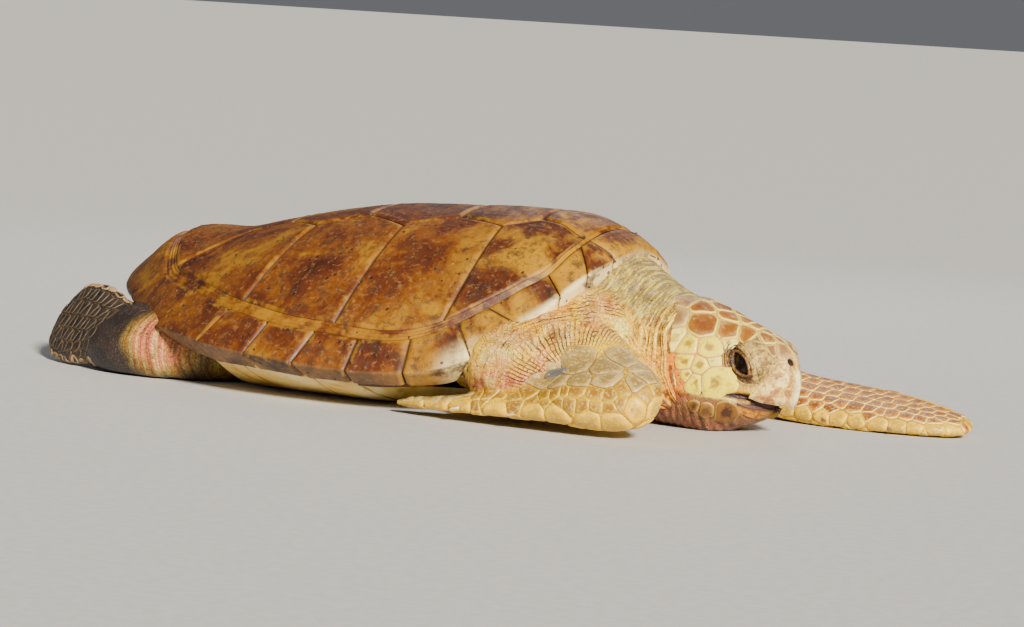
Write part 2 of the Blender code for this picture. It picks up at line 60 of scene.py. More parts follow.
print(f"shell {LENGTH:.3f} m long, {2 * HALF_WIDTH:.3f} m wide, {CREST_HEIGHT:.3f} m high")

# %% [markdown]
# ## Camera, floor and light
#
# The camera stands at the turtle's right, a little in front of it and hardly above its back, with a long
# lens, so that the near flipper doesn't swell. It is rolled by a few degrees. The main light is far away, in
# front on the right and high up, and a little soft. Two wide weak lamps and a pale surround light the
# shadows.

# %% Camera, floor and light
CAMERA_TURN, CAMERA_RISE, CAMERA_ROLL = 28, 5, 3.5  # degrees
TARGET = (0.245, 0.0, 0.138)
DISTANCE, LENS, SENSOR = 5.333, 120, 36
KEY_FROM, KEY_SPREAD, KEY_ENERGY = (2.9, -2.4, 1.9), math.radians(9), 9.0
WARM, COOL, NEUTRAL = (1.0, 0.94, 0.82), (0.92, 0.96, 1.0), (1.0, 0.98, 0.95)
SURROUND, SURROUND_STRENGTH = (0.9, 0.93, 1.0, 1), 0.16


def camera_axes(turn, rise, roll):
    """The camera's right, up and back directions as the columns of a matrix, from three angles in degrees."""
    a, e, c = (math.radians(angle) for angle in (turn, rise, roll))
    back = np.array([math.sin(a) * math.cos(e), -math.cos(a) * math.cos(e), math.sin(e)])
    right = np.array([math.cos(a), math.sin(a), 0.0])
    up = np.cross(back, right)
    return stack([right * math.cos(c) + up * math.sin(c), up * math.cos(c) - right * math.sin(c), back], 1)


def placed(name, data):
    """An object for the data, linked to the scene."""
    made = bpy.data.objects.new(name, data)
    bpy.context.scene.collection.objects.link(made)
    return made


def lamp(name, kind, place, aim, energy, colour):
    """A lamp at place, turned so that it faces aim: its back points from aim to place."""
    made = placed(name, bpy.data.lights.new(name, kind))
    made.data.energy, made.data.color, made.location = energy, colour, place
    made.rotation_euler = (Vector(place) - Vector(aim)).to_track_quat("Z", "Y").to_euler()
    return made.data


camera = placed("camera", bpy.data.cameras.new("camera"))
bpy.context.scene.camera = camera
camera.data.lens, camera.data.sensor_width = LENS, SENSOR
axes = camera_axes(CAMERA_TURN, CAMERA_RISE, CAMERA_ROLL)
place = np.array(TARGET) + DISTANCE * axes[:, 2]
camera.matrix_world = Matrix.Translation(place) @ Matrix(axes).to_4x4()

lamp("key", "SUN", KEY_FROM, (0, 0, 0), KEY_ENERGY, WARM).angle = KEY_SPREAD
lamp("fill", "AREA", (-1.6, -3.6, 1.6), (0.1, 0, 0.1), 10, COOL).size = 2.6
lamp("rim", "AREA", (-0.6, 2.6, 2.2), (0.1, 0, 0.15), 18, NEUTRAL).size = 1.6
world = bpy.context.scene.world or bpy.data.worlds.new("surround")
bpy.context.scene.world = world
world.use_nodes = True
world.node_tree.nodes["Background"].inputs["Color"].default_value = SURROUND
world.node_tree.nodes["Background"].inputs["Strength"].default_value = SURROUND_STRENGTH
print("camera at", place.round(3))

# %% [markdown]
# ## Tools for shapes
#
# Almost every piece here is a surface of two parameters: a whole array of points worked out at once and put
# into a mesh. A few helpers do that. `curve` is a smooth curve through a short table, `path` a smooth line
# through a few points, `noise` a smooth random value for every point in space, and `piece` makes an object
# of the arrays, with values such as the distance to a seam stored on its points for the materials to read.

# %% Curves, paths and noise
def curve(x, table):
    """A monotone cubic through the (x, value) pairs of table, given in thousandths, at the numbers x."""
    px, py = np.array(table).T / 1000
    h = np.diff(px)
    slope = np.diff(py) / h
    m = join([[slope[0]], np.zeros(len(px) - 2), [slope[-1]]])
    same = slope[:-1] * slope[1:] > 0
    w1, w2 = 2 * h[1:] + h[:-1], h[1:] + 2 * h[:-1]
    before, after = np.where(same, slope[:-1], 1), np.where(same, slope[1:], 1)
    m[1:-1][same] = ((w1 + w2) / (w1 / before + w2 / after))[same]
    i = np.clip(np.searchsorted(px, x) - 1, 0, len(px) - 2)
    t = np.clip((x - px[i]) / h[i], 0, 1)
    return ((2 * t**3 - 3 * t**2 + 1) * py[i] + (t**3 - 2 * t**2 + t) * h[i] * m[i]
            + (3 * t**2 - 2 * t**3) * py[i + 1] + (t**3 - t**2) * h[i] * m[i + 1])


def path(rows, count):
    """A smooth line through the rows of numbers, read at count even steps (Catmull-Rom)."""
    rows = np.array(rows, float)
    padded = np.vstack([2 * rows[0] - rows[1], rows, 2 * rows[-1] - rows[-2]])
    at = np.linspace(0, len(rows) - 1, count)
    i = np.minimum(at.astype(int), len(rows) - 2)
    t = (at - i)[:, None]
    a, b, c, d = (padded[i + k] for k in range(4))
    return 0.5 * (2 * b + (c - a) * t + (2 * a - 5 * b + 4 * c - d) * t**2 + (3 * b - a - 3 * c + d) * t**3)


def smooth(x, low, high):
    """0 below low, 1 above high and an even S between them."""
    t = np.clip((x - low) / (high - low), 0, 1)
    return t * t * (3 - 2 * t)


HASH, HASH_SEED, HASH_MIX = np.array([73856093, 19349663, 83492791]), 2654435761, 1274126177  # large primes


def noise(points, seed=0):
    """A smooth value between -1 and 1 for each point: random numbers at whole coordinates, blended."""
    cell = np.floor(points).astype(np.int64)
    f = points - cell
    f = f * f * (3 - 2 * f)
    total = 0
    for corner in np.ndindex(2, 2, 2):
        key = (cell + corner) @ HASH + seed * HASH_SEED
        key = (key ^ (key >> 13)) * HASH_MIX & 0xFFFFFFFF
        value = ((key ^ (key >> 16)) & 0xFFFF) / 32767.5 - 1
        total = total + value * np.prod(np.where(corner, f, 1 - f), -1)
    return total


def layered(points, octaves, seed=0):
    """Noise with finer and weaker noise on top of it."""
    return sum(noise(points * 2**k, seed + k) / 2**k for k in range(octaves))


def unit(vectors):
    """The vectors divided by their lengths."""
    return vectors / np.maximum(np.linalg.norm(vectors, axis=-1, keepdims=True), 1e-12)


def walked(line):
    """The length of a line up to each of its points."""
    return join([[0], np.cumsum(np.linalg.norm(np.diff(line, axis=0), axis=1))])


def ring_angles(count):
    """Even angles round a full turn, without the last."""
    return np.linspace(0, 2 * math.pi, count, endpoint=False)


def squared_wave(wave, power):
    """A sine or cosine to a power, with its sign kept: rings made of it are squarer or more pointed."""
    return np.sign(wave) * np.abs(wave) ** power


def bell(x, width):
    """1 at 0, falling to both sides as exp(-(x / width) ** 2)."""
    return np.exp(-((x / width) ** 2))


# %% Meshes from arrays
pieces = {}


def border_of(index):
    """The numbers along the border of a grid of point numbers, once round."""
    return join([index[0, :-1], index[:-1, -1], index[-1, :0:-1], index[:0:-1, 0]])


def grid_faces(rows, columns, wrap=False, start=0):
    """The four-cornered faces of a grid of points; wrap joins its last column to its first."""
    index = start + np.arange(rows * columns).reshape(rows, columns)
    if wrap:
        index = join([index, index[:, :1]], 1)
    return stack([index[:-1, :-1], index[:-1, 1:], index[1:, 1:], index[1:, :-1]], -1).reshape(-1, 4)


def fan(ring, hub):
    """Triangles from a ring of point numbers to the hub's number."""
    return stack([ring, np.roll(ring, -1), np.full(len(ring), hub)], 1)


class Shape:
    """Arrays of points, faces and values per point that become one mesh, added part by part."""

    def __init__(self):
        self.points, self.faces, self.marks, self.count = [], [], [], 0

    def take(self, other):
        """Add all parts of another shape."""
        self.faces += [part + self.count for part in other.faces]
        self.points += other.points
        self.marks += other.marks
        self.count += other.count

    def add(self, points, faces, **marks):
        """Add points with their faces and the values stored on them."""
        points = points.reshape(-1, 3)
        self.points.append(points)
        self.faces += [part + self.count for part in faces]
        self.marks.append({key: np.broadcast_to(value, len(points)).ravel() for key, value in marks.items()})
        self.count += len(points)

    def plate(self, grid, inwards, **marks):
        """A grid with a closed back: its border goes inwards, to a fan from below the grid's middle."""
        rows, columns = grid.shape[:2]
        index = np.arange(rows * columns).reshape(rows, columns)
        border = border_of(index)
        flat, inwards = grid.reshape(-1, 3), inwards.reshape(-1, 3)
        middle = index[rows // 2, columns // 2]
        lowered = flat[border] - inwards[border]
        n, m = rows * columns, len(border)
        walls = stack([np.roll(border, -1), border, n + np.arange(m), n + np.roll(np.arange(m), -1)], 1)
        sides = {key: join([np.ravel(value), np.ravel(value)[border], np.ravel(value)[:1]])
                 for key, value in marks.items()}
        self.add(join([flat, lowered, flat[middle:middle + 1] - 2 * inwards[middle]]),
                 [grid_faces(rows, columns), walls, fan(n + np.arange(m), n + m)], **sides)

    def slab(self, outer, inner, **marks):
        """The closed body between two grids of points with the same rows and columns."""
        rows, columns = outer.shape[:2]
        n = rows * columns
        border = border_of(np.arange(n).reshape(rows, columns))
        after = np.roll(border, -1)
        walls = stack([after, border, border + n, after + n], 1)
        both = {key: np.tile(np.ravel(value), 2) for key, value in marks.items()}
        faces = grid_faces(rows, columns)
        self.add(join([outer.reshape(-1, 3), inner.reshape(-1, 3)]), [faces, faces[:, ::-1] + n, walls],
                 **both)

    def tube(self, rings, **marks):
        """The closed body along rings of points, with a fan over each end."""
        count, around = rings.shape[:2]
        n = count * around
        ends = rings[0].mean(0), rings[-1].mean(0)
        marks = {key: np.broadcast_to(value, (count, around)).ravel() for key, value in marks.items()}
        last = {key: join([value, value[:1], value[-1:]]) for key, value in marks.items()}
        self.add(join([rings.reshape(-1, 3), ends]), [grid_faces(count, around, wrap=True),
                                                      fan(np.arange(around), n)[:, ::-1],
                                                      fan(np.arange(n - around, n), n + 1)], **last)

    def hoop(self, rings, **marks):
        """The closed body along a line of rings that ends where it starts."""
        count, around = rings.shape[:2]
        both = grid_faces(count + 1, around, wrap=True) % (count * around)
        self.add(rings, [both], **marks)

    def build(self, name, finish, slot, *replaced, turn_out=True):
        """The object, riding on the turtle's one body; replaced names the model's nodes it stands for."""
        mesh = bpy.data.meshes.new(name)
        points = join(self.points)
        corners = join([part.ravel() for part in self.faces])
        sizes = join([np.full(len(part), part.shape[1]) for part in self.faces])
        mesh.vertices.add(len(points))
        mesh.vertices.foreach_set("co", points.astype(np.float32).ravel())
        mesh.loops.add(len(corners))
        mesh.loops.foreach_set("vertex_index", corners.astype(np.int32))
        mesh.polygons.add(len(sizes))
        mesh.polygons.foreach_set("loop_start", (np.cumsum(sizes) - sizes).astype(np.int32))
        mesh.update(calc_edges=True)
        for key in sorted(set().union(*self.marks)):
            values = join([marks.get(key, np.zeros(len(part)))
                           for marks, part in zip(self.marks, self.points)])
            mesh.attributes.new(key, "FLOAT", "POINT").data.foreach_set("value", values.astype(np.float32))
        return dress(name, mesh, finish, slot, *replaced, turn_out=turn_out)


def face_outwards(mesh):
    """Turn all faces of the mesh outwards."""
    body = bmesh.new()
    body.from_mesh(mesh)
    bmesh.ops.recalc_face_normals(body, faces=body.faces)
    body.to_mesh(mesh)
    body.free()


def modified(mesh, **modifiers):
    """The mesh after a row of modifiers, each given as its kind and its settings."""
    helper = placed("helper", mesh)
    for kind, settings in modifiers.items():
        modifier = helper.modifiers.new(kind, kind)
        for key, value in settings.items():
            setattr(modifier, key, value)
    shaped = bpy.data.meshes.new_from_object(helper.evaluated_get(bpy.context.evaluated_depsgraph_get()))
    bpy.data.objects.remove(helper)
    return shaped


def dress(name, mesh, finish, slot, *replaced, turn_out=True):
    """An object for the mesh: faces turned outwards, shaded smooth, with its finish and body; slot is not
    used.
    """
    if turn_out:
        face_outwards(mesh)
    mesh.shade_smooth()
    mesh.set_sharp_from_angle(angle=math.radians(60))
    mesh.materials.clear()
    mesh.materials.append(finish)
    made = placed(name, mesh)
    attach(made, "root")
    if replaced:
        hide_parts(*replaced)
    pieces[name] = made
    print(f"{name}: {len(mesh.vertices)} points, {sum(len(p.vertices) - 2 for p in mesh.polygons)} triangles")
    return made

# %% [markdown]
# ## Tools for materials
#
# A material is a small network of nodes. Writing `net.noise(...)` is easier to read than making each node,
# setting its values and linking it, so one short class does that. Effects that several finishes share are
# node groups, built once: `mottle` gives cloudy patches, `pits` small dents with dark dots, and `band` a mark
# that lies at a given distance from a seam or rim.

# %% Networks of nodes
RICHNESS = 1.42


def rich(colour):
    """A colour with its parts moved away from its lightness, as the view transform pales all colours."""
    light = 0.3 * colour[0] + 0.59 * colour[1] + 0.11 * colour[2]
    return *(min(1.0, max(0.004, light + (part - light) * RICHNESS)) for part in colour), 1.0


class Net:
    """Short calls that add nodes to a tree. A name in place of a value means the one stored on the points."""

    def __init__(self, tree, shader=None):
        self.tree, self.shader = tree, shader
        self.at = self.place() if shader else None

    def give(self, socket, value):
        """Link a socket to another one or to a stored value, or set it."""
        if isinstance(value, str):
            value = self.add("Attribute", attribute_name=value).outputs["Fac"]
        if isinstance(value, bpy.types.NodeSocket):
            self.tree.links.new(value, socket)
        else:
            socket.default_value = value

    def add(self, kind, values=(), **settings):
        """A new node with its settings and the values of its inputs."""
        made = self.tree.nodes.new(f"ShaderNode{kind}")
        for key, value in settings.items():
            setattr(made, key, value)
        for key, value in dict(values).items():
            self.give(made.inputs[key], value)
        return made

    def place(self, scale=(1, 1, 1)):
        """Object coordinates, stretched by the three scales."""
        coordinates = self.add("TexCoord").outputs["Object"]
        return self.add("Mapping", {"Vector": coordinates, "Scale": scale}).outputs[0]

    def vector(self, x=0.0, y=0.0, z=0.0):
        """A vector of three values."""
        return self.add("CombineXYZ", {"X": x, "Y": y, "Z": z}).outputs[0]

    def noise(self, scale, detail=3, roughness=0.55, distortion=0.0, at=None):
        """Cloudy values around one half, in place or at another vector."""
        values = {"Vector": at or self.at, "Scale": scale, "Detail": detail, "Roughness": roughness,
                  "Distortion": distortion}
        return self.add("TexNoise", values).outputs["Fac"]

    def pits(self, scale, share):
        """Small dots in a share of even cells."""
        return self.group("pits", Vector=self.at, Scale=scale, Share=share)["Mask"]

    def math(self, operation, a, b=0.0, c=0.0, clamp=False):
        """A sum, product or the like of values."""
        return self.add("Math", {0: a, 1: b, 2: c}, operation=operation, use_clamp=clamp).outputs[0]

    def times(self, a, b):
        """a x b."""
        return self.math("MULTIPLY", a, b)

    def plus(self, a, b, clamp=False):
        """a + b."""
        return self.math("ADD", a, b, clamp=clamp)

    def minus(self, a, b):
        """a - b."""
        return self.math("SUBTRACT", a, b)

    def line(self, a, b, c, clamp=False):
        """a x b + c."""
        return self.math("MULTIPLY_ADD", a, b, c, clamp)

    def step(self, value, low, high, to_low=0.0, to_high=1.0):
        """An S from to_low at low to to_high at high."""
        values = {"Value": value, "From Min": low, "From Max": high, "To Min": to_low, "To Max": to_high}
        return self.add("MapRange", values, interpolation_type="SMOOTHSTEP").outputs["Result"]

    def ramp(self, value, *stops):
        """A colour for each value, from (position, colour) stops."""
        made = self.add("ValToRGB", {"Fac": value})
        made.color_ramp.interpolation = "EASE"
        for position, colour in stops[2:]:
            made.color_ramp.elements.new(position)
        for element, (position, colour) in zip(made.color_ramp.elements, stops):
            element.position = position
        for element, (position, colour) in zip(made.color_ramp.elements, stops):
            element.color = rich(colour)
        return made.outputs["Color"]

    def mix(self, share, a, b):
        """Colour a with a share of colour b laid over it."""
        values = {0: share, 6: a, 7: b}
        values = {key: rich(value) if isinstance(value, tuple) else value for key, value in values.items()}
        return self.add("Mix", values, data_type="RGBA").outputs[2]

    def paint(self, colour, share=None, amount=None):
        """Lay a colour over what is painted so far, by a share that amount scales, or start with it."""
        if amount:
            share = self.times(share, amount)
        self.colour = colour if share is None else self.mix(share, self.colour, colour)

    def show(self, rough=None, height=None, depth=0.0):
        """Link the painted colour, a roughness and the normal of a height of that depth to the shader.

        rough is a socket, or a noise with the roughness at its low and at its high end.
        """
        self.give(self.shader.inputs["Base Color"], self.colour)
        if rough:
            rough = self.step(rough[0], 0.3, 0.7, *rough[1:]) if isinstance(rough, tuple) else rough
            self.give(self.shader.inputs["Roughness"], rough)
        if height:
            bump = self.add("Bump", {"Height": height, "Distance": depth, "Strength": 1.0})
            self.give(self.shader.inputs["Normal"], bump.outputs["Normal"])

    def group(self, name, **values):
        """The outputs of a shared effect."""
        return self.add("Group", values, node_tree=bpy.data.node_groups[name]).outputs


def node_group(name, inputs, outputs):
    """An empty shader node group with named inputs (with their usual values) and outputs."""
    tree = bpy.data.node_groups.new(name, "ShaderNodeTree")
    for key, value in inputs.items():
        kind = "NodeSocketVector" if value is None else "NodeSocketFloat"
        socket = tree.interface.new_socket(key, in_out="INPUT", socket_type=kind)
        if value is not None:
            socket.default_value = value
    for key in outputs:
        tree.interface.new_socket(key, in_out="OUTPUT", socket_type="NodeSocketFloat")
    return Net(tree), tree.nodes.new("NodeGroupInput").outputs, tree.nodes.new("NodeGroupOutput").inputs


def finish(name, roughness=0.5, metallic=0.0, **fixed):
    """A new material and its network; fixed holds plain values of the shader's sockets."""
    made = bpy.data.materials.new(name)
    made.use_nodes = True
    shader = made.node_tree.nodes["Principled BSDF"]
    for key, value in dict(fixed, Roughness=roughness, Metallic=metallic).items():
        shader.inputs[key.replace("_", " ")].default_value = value
    return made, Net(made.node_tree, shader)


# %% Shared effects
net, given, result = node_group("mottle", {"Vector": None, "Scale": 8.0, "Contrast": 1.0}, ["Value"])
cloud = net.noise(given["Scale"], 6, 0.62, 0.5, at=given["Vector"])
stretched = net.line(net.minus(cloud, 0.5), given["Contrast"], 0.5, clamp=True)
net.tree.links.new(stretched, result["Value"])

net, given, result = node_group("pits", {"Vector": None, "Scale": 60.0, "Share": 0.3}, ["Mask"])
cells = net.add("TexVoronoi", {"Vector": given["Vector"], "Scale": given["Scale"], "Randomness": 1.0})
chosen = net.add("SeparateColor", {"Color": cells.outputs["Color"]}).outputs[0]
size = net.step(chosen, net.minus(1.0, given["Share"]), 1.0, 0.0, 0.36)
inside = net.minus(size, cells.outputs["Distance"])
net.tree.links.new(net.step(inside, 0.0, 0.12), result["Mask"])

net, given, result = node_group("band", {"Distance": 0.0, "Start": 0.0, "End": 0.005, "Soft": 0.002},
                                ["Mask"])
risen = net.step(given["Distance"], net.minus(given["Start"], given["Soft"]), given["Start"])
fallen = net.step(given["Distance"], given["End"], net.plus(given["End"], given["Soft"]), 1.0, 0.0)
net.tree.links.new(net.times(risen, fallen), result["Mask"])
print("shared effects:", [group.name for group in bpy.data.node_groups])

floor_finish, net = finish("floor", 0.75)
grain = net.noise(60, 4)
net.paint(net.ramp(grain, (0.3, (0.55, 0.545, 0.535)), (0.7, (0.6, 0.595, 0.585))))
net.show()
bpy.ops.mesh.primitive_plane_add(size=600, location=(0, 0, -0.0005))
floor = bpy.context.object
floor.name = "floor"
floor.data.materials.append(floor_finish)

# %% [markdown]
# ## The back shell
#
# A loggerhead's carapace is a bony dome under horny plates: one nuchal plate behind the neck, a row of five
# vertebrals along the crest, broad costals beside them and twelve marginals round each side. A single sheet
# with grooves would need a very fine mesh to look crisp, so every plate is its own patch instead: its grid
# lines run along its own seams and crowd together there, and it dips at its border, so that two neighbours
# make a clean groove. The dome is the one that the solid has, worked out again from the same curves.

# %% The dome
PLAN = [(0, 100), (8, 290), (30, 500), (70, 670), (130, 810), (220, 925), (340, 990), (460, 1000), (580, 957),
        (700, 843), (800, 670), (900, 415), (970, 215), (1000, 60)]
RIM_HEIGHT = [(0, 250), (30, 198), (70, 145), (130, 95), (220, 66), (340, 60), (500, 66), (660, 76),
              (800, 91), (920, 117), (1000, 131)]
CREST = [(0, 852), (50, 939), (120, 1000), (200, 1000), (300, 980), (420, 961), (550, 908), (680, 818),
         (780, 754), (840, 750), (890, 713), (940, 600), (1000, 457)]
DOME_POWER = 2.15
RIM_DROP = [(0, 14), (150, 22), (300, 30), (600, 28), (800, 16), (1000, 12)]
RIM_INSET = 0.115


def plan(share, across):
    """The place in plan of a share of the shell's length and a share of its half width there."""
    share, across = np.broadcast_arrays(share, across)
    return stack([HALF - share * LENGTH, across * curve(share, PLAN) * HALF_WIDTH], -1)


def shell_place(xy):
    """The share of the length and of the half width for places in plan."""
    share = np.clip((HALF - xy[..., 0]) / LENGTH, 0, 1)
    return share, np.clip(xy[..., 1] / (curve(share, PLAN) * HALF_WIDTH), -1, 1)


def dome(xy):
    """The dome's points over places in plan: the crest's height falls to the rim's as 1 - |across| ** p."""
    share, across = shell_place(xy)
    rim = curve(share, RIM_HEIGHT)
    z = rim + (curve(share, CREST) * CREST_HEIGHT - rim) * (1 - np.abs(across) ** DOME_POWER)
    return join([xy, z[..., None]], -1)


def under_rim(xy):
    """The rim's underside over places in plan."""
    share, across = shell_place(xy)
    z = curve(share, RIM_HEIGHT) - curve(share, RIM_DROP) * np.minimum((1 - np.abs(across)) / RIM_INSET, 1)
    return join([xy, z[..., None]], -1)


# %% The seams' lines
# Places are thousandths of the length and of the half width, for the turtle's right and left alike.
GUTTER = [(50, 0), (51, 200), (56, 400), (66, 570), (79, 690), (110, 740), (144, 780), (204, 840), (254, 868),
          (320, 872), (400, 862), (474, 856), (549, 835), (614, 808), (680, 765), (745, 715), (808, 675),
          (850, 500), (872, 250), (878, 0)]
BAND = [(0, 0.004), (0.25, 0.006), (0.5, 0.01), (0.8, 0.014), (1, 0.008)]  # the gutter's width along it
VERTEBRAL = [(56, 400), (100, 300), (144, 250), (199, 343), (290, 255), (376, 363), (465, 255), (554, 343),
             (630, 230), (703, 288), (808, 675)]
# (upper end, where it meets the gutter)
COSTAL_SEAMS = [((56, 400), 56), ((199, 343), 204), ((376, 363), 389), ((554, 343), 585), ((703, 288), 808)]
MARGINALS = [(55.5, 4.5), (59, 17), (79, 37), (149, 74), (186, 137), (249, 238), (335, 336), (414, 436),
             (509, 533), (600, 640), (703, 762), (808, 905)]

gutter = path(np.array(GUTTER) / 1000, 1200)
rim = join([[(0, across) for across in np.linspace(0, 0.98, 40)],
            [(share, 1) for share in np.linspace(0, 1, 2500) ** 1.6],
            [(1, across) for across in np.linspace(0.98, 0, 20)]])
gutter_plan, rim_plan = plan(gutter[:, 0], gutter[:, 1]), plan(rim[:, 0], rim[:, 1])


def stretch(line, start, end, count):
    """The part of a line in plan between two places along it, as count even steps."""
    length = walked(line)
    at = np.linspace(length[start], length[end], count)
    return stack([np.interp(at, length, line[:, k]) for k in range(2)], 1)


def nearest(line, share):
    """The number of the line's point at a share of the shell's length, in thousandths."""
    return int(np.argmin(np.abs(line[:, 0] - share / 1000)))


# %% Patches between seams
PLATE_DEPTH = 0.0035
SEAM_DEPTH, SEAM_WIDTH = 0.0024, 0.003
LIP_HEIGHT, LIP_AT, LIP_WIDTH = 0.0007, 0.009, 0.005
RING_HEIGHT, RING_STEP = 0.00022, 0.0085
WAVE_HEIGHT = 0.0009


def crowded(count, share=0.72):
    """Steps from 0 to 1 that lie closer together at both ends."""
    t = np.linspace(0, 1, count)
    return (1 - share) * t + share * (1 - np.cos(math.pi * t)) / 2


def resample(line, steps):
    """The line read at steps from 0 to 1 of its length."""
    length = walked(line)
    return stack([np.interp(steps * length[-1], length, line[:, k]) for k in range(line.shape[1])], 1)


def fill(front, rear, right, left, rows, columns):
    """A grid between four border lines: the sum of its two ruled surfaces less the bilinear one (Coons)."""
    a, b = crowded(rows), crowded(columns)
    front, rear, right, left = resample(front, b), resample(rear, b), resample(right, a), resample(left, a)
    a, b = a[:, None, None], b[None, :, None]
    corners = ((1 - a) * ((1 - b) * front[0] + b * front[-1]) + a * ((1 - b) * rear[0] + b * rear[-1]))
    return (1 - a) * front + a * rear + (1 - b) * right[:, None] + b * left[:, None] - corners


def border_distance(grid, open_side=None):
    """For each point of a grid, the distance along the surface to the nearest border, rounded at corners."""
    rows = np.linalg.norm(np.diff(grid, axis=0), axis=-1)
    columns = np.linalg.norm(np.diff(grid, axis=1), axis=-1)
    down = join([np.zeros((1, grid.shape[1])), np.cumsum(rows, 0)])
    along = join([np.zeros((grid.shape[0], 1)), np.cumsum(columns, 1)], 1)
    sides = [down, down[-1:] - down, along, along[:, -1:] - along]
    if open_side is not None:
        sides.pop(open_side)
    inverse = sum(1 / np.maximum(side, 1e-5) ** 4 for side in sides)
    return np.maximum(inverse ** -0.25 - 1.5e-5, 0)


def grid_normals(grid):
    """The unit normal at each point of a grid, the way that row direction x column direction turns."""
    return unit(np.cross(np.gradient(grid, axis=0), np.gradient(grid, axis=1)))


def relief(distance, points, seed):
    """A plate's height over the dome: a steep border, a rolled lip, growth rings and slow waves."""
    border = -SEAM_DEPTH + 0.0038 * (1 - np.exp(-((distance / SEAM_WIDTH) ** 1.3)))
    lip = LIP_HEIGHT * bell(distance - LIP_AT, LIP_WIDTH)
    rings = np.sin(distance * 2 * math.pi / RING_STEP + 2.0 * noise(points * 12, seed))
    rings = RING_HEIGHT * rings * smooth(distance, 0.008, 0.02) * smooth(distance, 0.09, 0.03)
    waves = WAVE_HEIGHT * layered(points * 14, 3, seed) * smooth(distance, 0.0, 0.02)
    return border + lip + rings + waves


def plate(shape, grid, seed, open_side=None, back=False):
    """Add one horny plate over a grid of base points to the shape, with its values for the material.

    back gives it a whole inner side, which a plate needs that wraps round the rim.
    """
    distance = border_distance(grid, open_side)
    normals = grid_normals(grid)
    normals *= np.sign(normals[:, :8, 2].mean())
    points = grid + normals * relief(distance, grid, seed)[..., None]
    share, across = shell_place(grid[..., :2])
    steps = np.linalg.norm(np.diff(grid, axis=0), axis=-1).mean(1)
    along = join([[0], np.cumsum(steps)])[:, None] + 0 * distance
    below = smooth(normals[..., 2], 0.2, -0.2)
    tone = np.full(distance.shape, 0.5 + 0.5 * noise(np.full((1, 3), seed * 1.7))[0])
    marks = dict(edge=distance, tone=tone, rim=np.abs(across), front=share, along=along + seed * 0.31,
                 below=below)
    if back:
        shape.slab(points, points - normals * PLATE_DEPTH, **marks)
    else:
        shape.plate(points, normals * PLATE_DEPTH, **marks)


def mirrored(grid):
    """The same on the other side: the second coordinate with its sign changed."""
    return grid * np.array([1, -1] if grid.shape[-1] == 2 else [1, -1, 1])

# %% Vertebral and costal plates
def plan_line(*places):
    """A line in plan through (share of length, share of half width) places, straight between them."""
    places = np.array(places) / 1000
    steps = np.linspace(0, len(places) - 1, 24 * (len(places) - 1) + 1)
    rows = stack([np.interp(steps, np.arange(len(places)), places[:, k]) for k in range(2)], 1)
    return plan(rows[:, 0], rows[:, 1])


def bowed(line, amount):
    """The line with its middle moved along the shell."""
    t = np.linspace(0, 1, len(line))
    return line + stack([amount * 4 * t * (1 - t), 0 * t], 1)


def keel(grid):
    """The dome over a grid in plan, with the low median ridge that each vertebral carries."""
    points = dome(grid)
    share, across = shell_place(grid)
    points[..., 2] += 0.0025 * bell(across, 0.06) * smooth(share, 0.1, 0.3)
    return points


vertebral_sides = [VERTEBRAL[0:3], VERTEBRAL[2:5], VERTEBRAL[4:7], VERTEBRAL[6:9]]
vertebrals = Shape()
for number, side in enumerate(vertebral_sides):
    left = plan_line(*side)
    right = mirrored(left)
    front = bowed(np.linspace(right[0], left[0], 40), -0.006)
    if number == 0:
        reach = nearest(gutter, VERTEBRAL[0][0])
        half = stretch(gutter_plan, 0, reach, 30)
        front = join([mirrored(half)[::-1], half[1:]])
    rear = bowed(np.linspace(right[-1], left[-1], 40), -0.006)
    plate(vertebrals, keel(fill(front, rear, right, left, 56, 56)), number + 1)
rear_turn = nearest(gutter, VERTEBRAL[-1][0])
left = plan_line(*VERTEBRAL[8:])
right = mirrored(left)
half = stretch(gutter_plan, rear_turn, len(gutter) - 1, 30)
rear = join([mirrored(half), half[::-1][1:]])
front = bowed(np.linspace(right[0], left[0], 40), -0.006)
plate(vertebrals, keel(fill(front, rear, right, left, 64, 72)), 5)

costals = Shape()
for side in (-1, 1):
    for number, ((upper, lower), (next_upper, next_lower)) in enumerate(zip(COSTAL_SEAMS, COSTAL_SEAMS[1:])):
        first, last = VERTEBRAL.index(upper), VERTEBRAL.index(next_upper)
        inner = plan_line(*VERTEBRAL[first:last + 1])
        start, end = nearest(gutter, lower), nearest(gutter, next_lower)
        outer = stretch(gutter_plan, start, end, 80)
        front = bowed(np.linspace(inner[0], outer[0], 40), 0.004 * (number > 0))
        behind = bowed(np.linspace(inner[-1], outer[-1], 40), 0.004)
        grid = fill(front, behind, inner, outer, 68, 76)
        if side < 0:
            grid = mirrored(grid)
        plate(costals, dome(grid), 10 + number + (side > 0) * 7)


# %% [markdown]
# ### The marginal plates and the rim
#
# The marginals fold round the shell's rim, so their grids run from the gutter out to the rim and back in
# below it. A few rounds of averaging across the rim turn the sharp fold into a worn edge. Towards the tail
# each plate's rim juts out more at its rear end, which gives the saw-toothed rim of the real shell.

# %% The marginal plates
TOOTH = [(0, 0), (350, 1), (600, 6), (800, 12), (1000, 10)]  # how far the rim's teeth jut out
FOLD = [(0, 20), (150, 30), (300, 38), (600, 38), (800, 26), (1000, 12)]  # width below the rim


def outwards(line):
    """The way out of a line in plan that runs from the front to the rear along the left side."""
    along = unit(np.gradient(line, axis=0))
    return stack([along[:, 1], -along[:, 0]], 1)


band = np.interp(np.linspace(0, 1, len(gutter)), *zip(*BAND))
way_out = outwards(gutter_plan)
band_plan = gutter_plan + way_out * band[:, None] * np.sign(way_out[len(gutter) // 2, 1])


